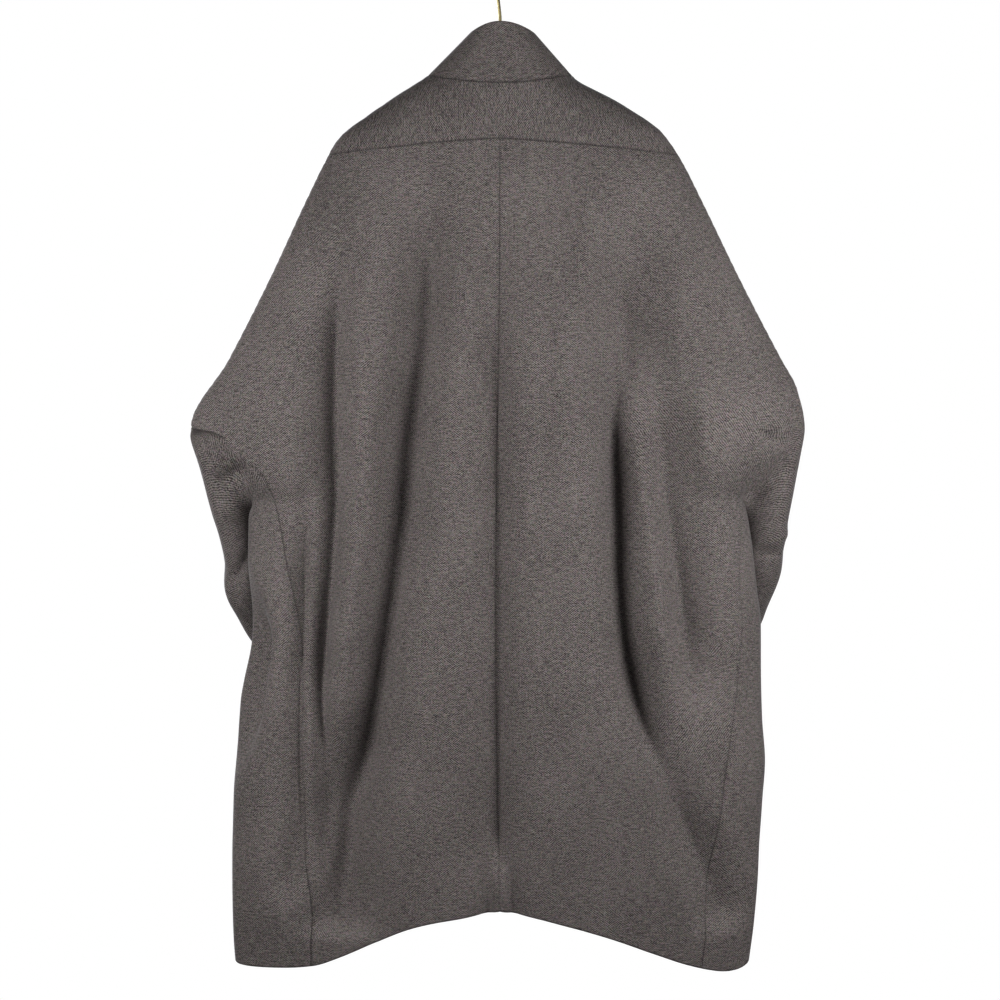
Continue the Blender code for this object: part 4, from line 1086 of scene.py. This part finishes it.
class COCOON_OT_zip(bpy.types.Operator):
    """Makes the zip's meshed teeth, slider and pull, and finishes its tapes"""
    bl_idname = "cocoon.zip"
    bl_label = "Zip"

    def execute(self, context):
        metal = worn_metal("antique_brass", context.scene.cocoon_colours.zip_metal, 0.4)
        tape = woven_tape()
        for _, word in SIDES:
            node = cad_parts["zip_tape_" + word]
            node.data.materials.clear()
            node.data.materials.append(tape)
        self.teeth(metal)
        for word, body in (("zip_slider", BODY), ("zip_pull", PULL)):
            self.eased(word, body, metal)
        return {"FINISHED"}

    def teeth(self, metal):
        """Two rows of teeth set into each other along the chain."""
        points, slope = front_line(np.linspace(ZIP_START, 1, ZIP_PLACES), (CHAIN_RECESS + CHAIN_BACK) / 2)
        along = np.concatenate([[0], np.cumsum(np.linalg.norm(np.diff(points, axis=0), axis=-1))])
        wide, deep, tall = TOOTH_SIZE
        pitch = tall + TOOTH_GAP
        mesh = bmesh.new()
        for k in range(int(along[-1] / pitch)):
            at = (k + 0.5) * pitch
            spot = np.array([np.interp(at, along, points[:, c]) for c in range(3)])
            lean = np.interp(at, along, np.arctan2(slope[:, 1], -slope[:, 2]))
            made = bmesh.ops.create_cube(mesh, size=1)["verts"]
            bmesh.ops.scale(mesh, verts=made, vec=(wide * MM, deep * MM, tall * MM))
            row = 1 if k % 2 else -1
            tips = [vert for vert in made if vert.co.x * row < 0]
            bmesh.ops.scale(mesh, verts=tips, vec=TOOTH_TIP)
            bmesh.ops.rotate(mesh, verts=made, cent=(0, 0, 0), matrix=Matrix.Rotation(lean, 3, "X"))
            spot[0] += row * TOOTH_SHIFT
            bmesh.ops.translate(mesh, verts=made, vec=Vector(spot * MM))
        bmesh.ops.bevel(mesh, geom=mesh.edges[:], offset=TOOTH_EASE * MM, affect="EDGES", segments=1,
                        profile=0.5, material=-1)
        teeth = add_object("zip_teeth", mesh, [metal])
        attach(teeth, BODY)
        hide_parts("zip_chain")

    def eased(self, word, body, metal):
        """The same solid as the frame's, with its edges eased."""
        mesh = bmesh.new()
        mesh.from_mesh(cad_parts[word].data)
        bmesh.ops.remove_doubles(mesh, verts=mesh.verts[:], dist=WELD)
        bmesh.ops.dissolve_limit(mesh, angle_limit=FLAT_ANGLE, verts=mesh.verts[:], edges=mesh.edges[:])
        sharp = [edge for edge in mesh.edges
                 if len(edge.link_faces) == 2 and edge.calc_face_angle() > SHARP_ANGLE]
        bmesh.ops.bevel(mesh, geom=sharp, offset=METAL_EASE * MM, affect="EDGES", segments=2, profile=0.5,
                        material=-1)
        made = add_object(word + "_metal", mesh, [metal])
        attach(made, body)
        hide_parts(word)


def add_wire(name, points, radius, material, node):
    """Round bar along points in millimetres, in place of a frame node."""
    data = bpy.data.curves.new(name, "CURVE")
    data.dimensions = "3D"
    data.bevel_depth = radius * MM
    data.bevel_resolution = 5
    data.use_fill_caps = True
    spline = data.splines.new("POLY")
    spline.points.add(len(points) - 1)
    for knot, point in zip(spline.points, points):
        knot.co = (*[value * MM for value in point], 1)
    data.materials.append(material)
    made = bpy.data.objects.new(name, data)
    bpy.context.scene.collection.objects.link(made)
    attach(made, BODY)
    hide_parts(node)


class COCOON_OT_hanger(bpy.types.Operator):
    """Makes the hanger's bar under the shoulders and its wire hook"""
    bl_idname = "cocoon.hanger"
    bl_label = "Hanger"

    def execute(self, context):
        left, right = self.arm(LEFT), self.arm(RIGHT)
        add_wire("hanger_beech", left[:0:-1] + right, BAR_RADIUS, lacquered_beech(), "hanger_bar")
        wire = [(x, 0, -drop) for x, drop in SHANK]
        for angle in np.radians(np.linspace(HOOK_START, HOOK_END, HOOK_PLACES)):
            height = WIRE_RADIUS - HOOK_RADIUS + HOOK_RADIUS * math.sin(angle)
            wire.append((HOOK_RADIUS * math.cos(angle), 0, height))
        brass = worn_metal("satin_brass", context.scene.cocoon_colours.brass, 0.35)
        add_wire("hanger_wire", wire, WIRE_RADIUS, brass, "hanger_hook")
        return {"FINISHED"}

    def arm(self, side):
        """Middle line of a hanger arm, from the neck to its tip, under the shoulder's inside."""
        points = [(side * x, 0, -(drop + BAR_RADIUS)) for x, drop in BAR_MIDDLE]
        sink = bpy.context.scene.cocoon_cloth.wall / MM + BAR_CLEARANCE + BAR_RADIUS
        ridge = np.linspace(ARM_START, BAR_TIP_REACH[side] + ARM_PAST_TIP, ARM_PLACES)
        drops, widths = np.array(OUTLINE[side][:SHOULDER_STATIONS], dtype=float).T
        line = np.interp(ridge, widths, drops)
        slope = np.gradient(line, ridge)
        for x, drop, rise in zip(ridge, line, slope):
            size = math.hypot(1, rise)
            points.append((side * (x - sink * rise / size), 0, -(drop + sink / size)))
        return points


class COCOON_OT_stage(bpy.types.Operator):
    """Sets the camera, the soft studio lights, the white room and the floor"""
    bl_idname = "cocoon.stage"
    bl_label = "Stage"

    def execute(self, context):
        scene, stage = context.scene, context.scene.cocoon_stage
        scene.view_settings.view_transform = "Standard"
        scene.view_settings.gamma = stage.contrast
        self.camera(scene, stage)
        middle = Vector((0, 0, -stage.view_drop))
        for name, place, size, setting in SOFTBOXES:
            self.softbox(name, place, middle, size, getattr(stage, setting))
        self.room(scene, stage)
        self.wash(self.floor(stage), stage)
        return {"FINISHED"}

    def floor(self, stage):
        """Plain pale floor, faintly mottled; its light stays off the jacket."""
        mesh = bmesh.new()
        bmesh.ops.create_circle(mesh, cap_ends=True, segments=FLOOR_SIDES, radius=FLOOR_RADIUS)
        bmesh.ops.translate(mesh, verts=mesh.verts[:], vec=(0, 0, -stage.floor_drop))
        pale, tree, shader = new_material("pale_floor", Roughness=0.85)
        place = add_node(tree, "TexCoord")
        mottle = add_node(tree, "TexNoise", {"Vector": place.outputs["Object"], "Scale": 3.0})
        shade = add_node(tree, "Mix", {0: mottle.outputs["Fac"], 6: (*linear("#eeeeee"), 1),
                                                 7: (*linear("#f4f4f4"), 1)}, data_type="RGBA")
        tree.links.new(shade.outputs[2], shader.inputs["Base Color"])
        made = add_object("floor", mesh, [pale])
        made.visible_diffuse = False
        return made

    def camera(self, scene, stage):
        """Level camera behind the jacket's back, framed as the picture."""
        data = bpy.data.cameras.new("camera")
        data.sensor_width = SENSOR_WIDTH
        data.lens = data.sensor_width * stage.distance / stage.view_width
        eye = bpy.data.objects.new("camera", data)
        eye.location = (0, -stage.distance, -stage.view_drop)
        eye.rotation_euler = (QUARTER, 0, 0)
        scene.collection.objects.link(eye)
        scene.camera = eye

    def softbox(self, name, place, target, size, power):
        """Square area light turned to the jacket."""
        data = bpy.data.lights.new(name, "AREA")
        data.energy, data.size = power, size
        lamp = bpy.data.objects.new(name, data)
        lamp.location = place
        lamp.visible_camera = False
        lamp.rotation_euler = (target - Vector(place)).to_track_quat("-Z", "Y").to_euler()
        bpy.context.scene.collection.objects.link(lamp)

    def wash(self, floor, stage):
        """Even light from straight above that falls on the floor alone."""
        data = bpy.data.lights.new("floor_wash", "SUN")
        data.energy, data.angle = stage.wash, QUARTER
        lamp = bpy.data.objects.new("floor_wash", data)
        bpy.context.scene.collection.objects.link(lamp)
        lamp.light_linking.receiver_collection = bpy.data.collections.new("floor_only")
        lamp.light_linking.receiver_collection.objects.link(floor)

    def room(self, scene, stage):
        """White room: full white behind the jacket, a low even light on it."""
        scene.world = bpy.data.worlds.new("white_room")
        scene.world.use_nodes = True
        tree = scene.world.node_tree
        output = tree.nodes["World Output"]
        seen = add_node(tree, "Background", {"Color": (1, 1, 1, 1), "Strength": 1.0})
        lit = add_node(tree, "Background", {"Color": (1, 1, 1, 1), "Strength": stage.ambient})
        ray = add_node(tree, "LightPath")
        mix = add_node(tree, "MixShader", {0: ray.outputs["Is Camera Ray"], 1: lit, 2: seen})
        tree.links.new(mix.outputs[0], output.inputs["Surface"])


class COCOON_PT_panel(bpy.types.Panel):
    """Steps and settings of the jacket"""
    bl_idname = "COCOON_PT_panel"
    bl_label = "Cocoon jacket"
    bl_space_type = "VIEW_3D"
    bl_region_type = "UI"
    bl_category = "Cocoon"

    def draw(self, context):
        for step in STEPS:
            self.layout.operator(step.bl_idname)
        for group in ("cocoon_cloth", "cocoon_colours", "cocoon_stage"):
            settings = getattr(context.scene, group)
            box = self.layout.box()
            for name in settings.__annotations__:
                box.prop(settings, name)


STEPS = (COCOON_OT_stage, COCOON_OT_backs, COCOON_OT_sides, COCOON_OT_fronts, COCOON_OT_collar,
         COCOON_OT_sleeves, COCOON_OT_zip, COCOON_OT_hanger)
GROUPS = {"cocoon_cloth": CocoonCloth, "cocoon_colours": CocoonColours, "cocoon_stage": CocoonStage}


def register():
    """Registers the classes and the scene's settings."""
    for kind in (*GROUPS.values(), *STEPS, COCOON_PT_panel):
        bpy.utils.register_class(kind)
    for name, kind in GROUPS.items():
        setattr(bpy.types.Scene, name, bpy.props.PointerProperty(type=kind))


def unregister():
    """Removes the settings and the classes."""
    for name in GROUPS:
        delattr(bpy.types.Scene, name)
    for kind in (COCOON_PT_panel, *reversed(STEPS), *GROUPS.values()):
        bpy.utils.unregister_class(kind)


def main():
    """Builds the jacket step by step."""
    register()
    for step in STEPS:
        group, name = step.bl_idname.split(".")
        getattr(getattr(bpy.ops, group), name)()


if __name__ == "__main__":
    main()
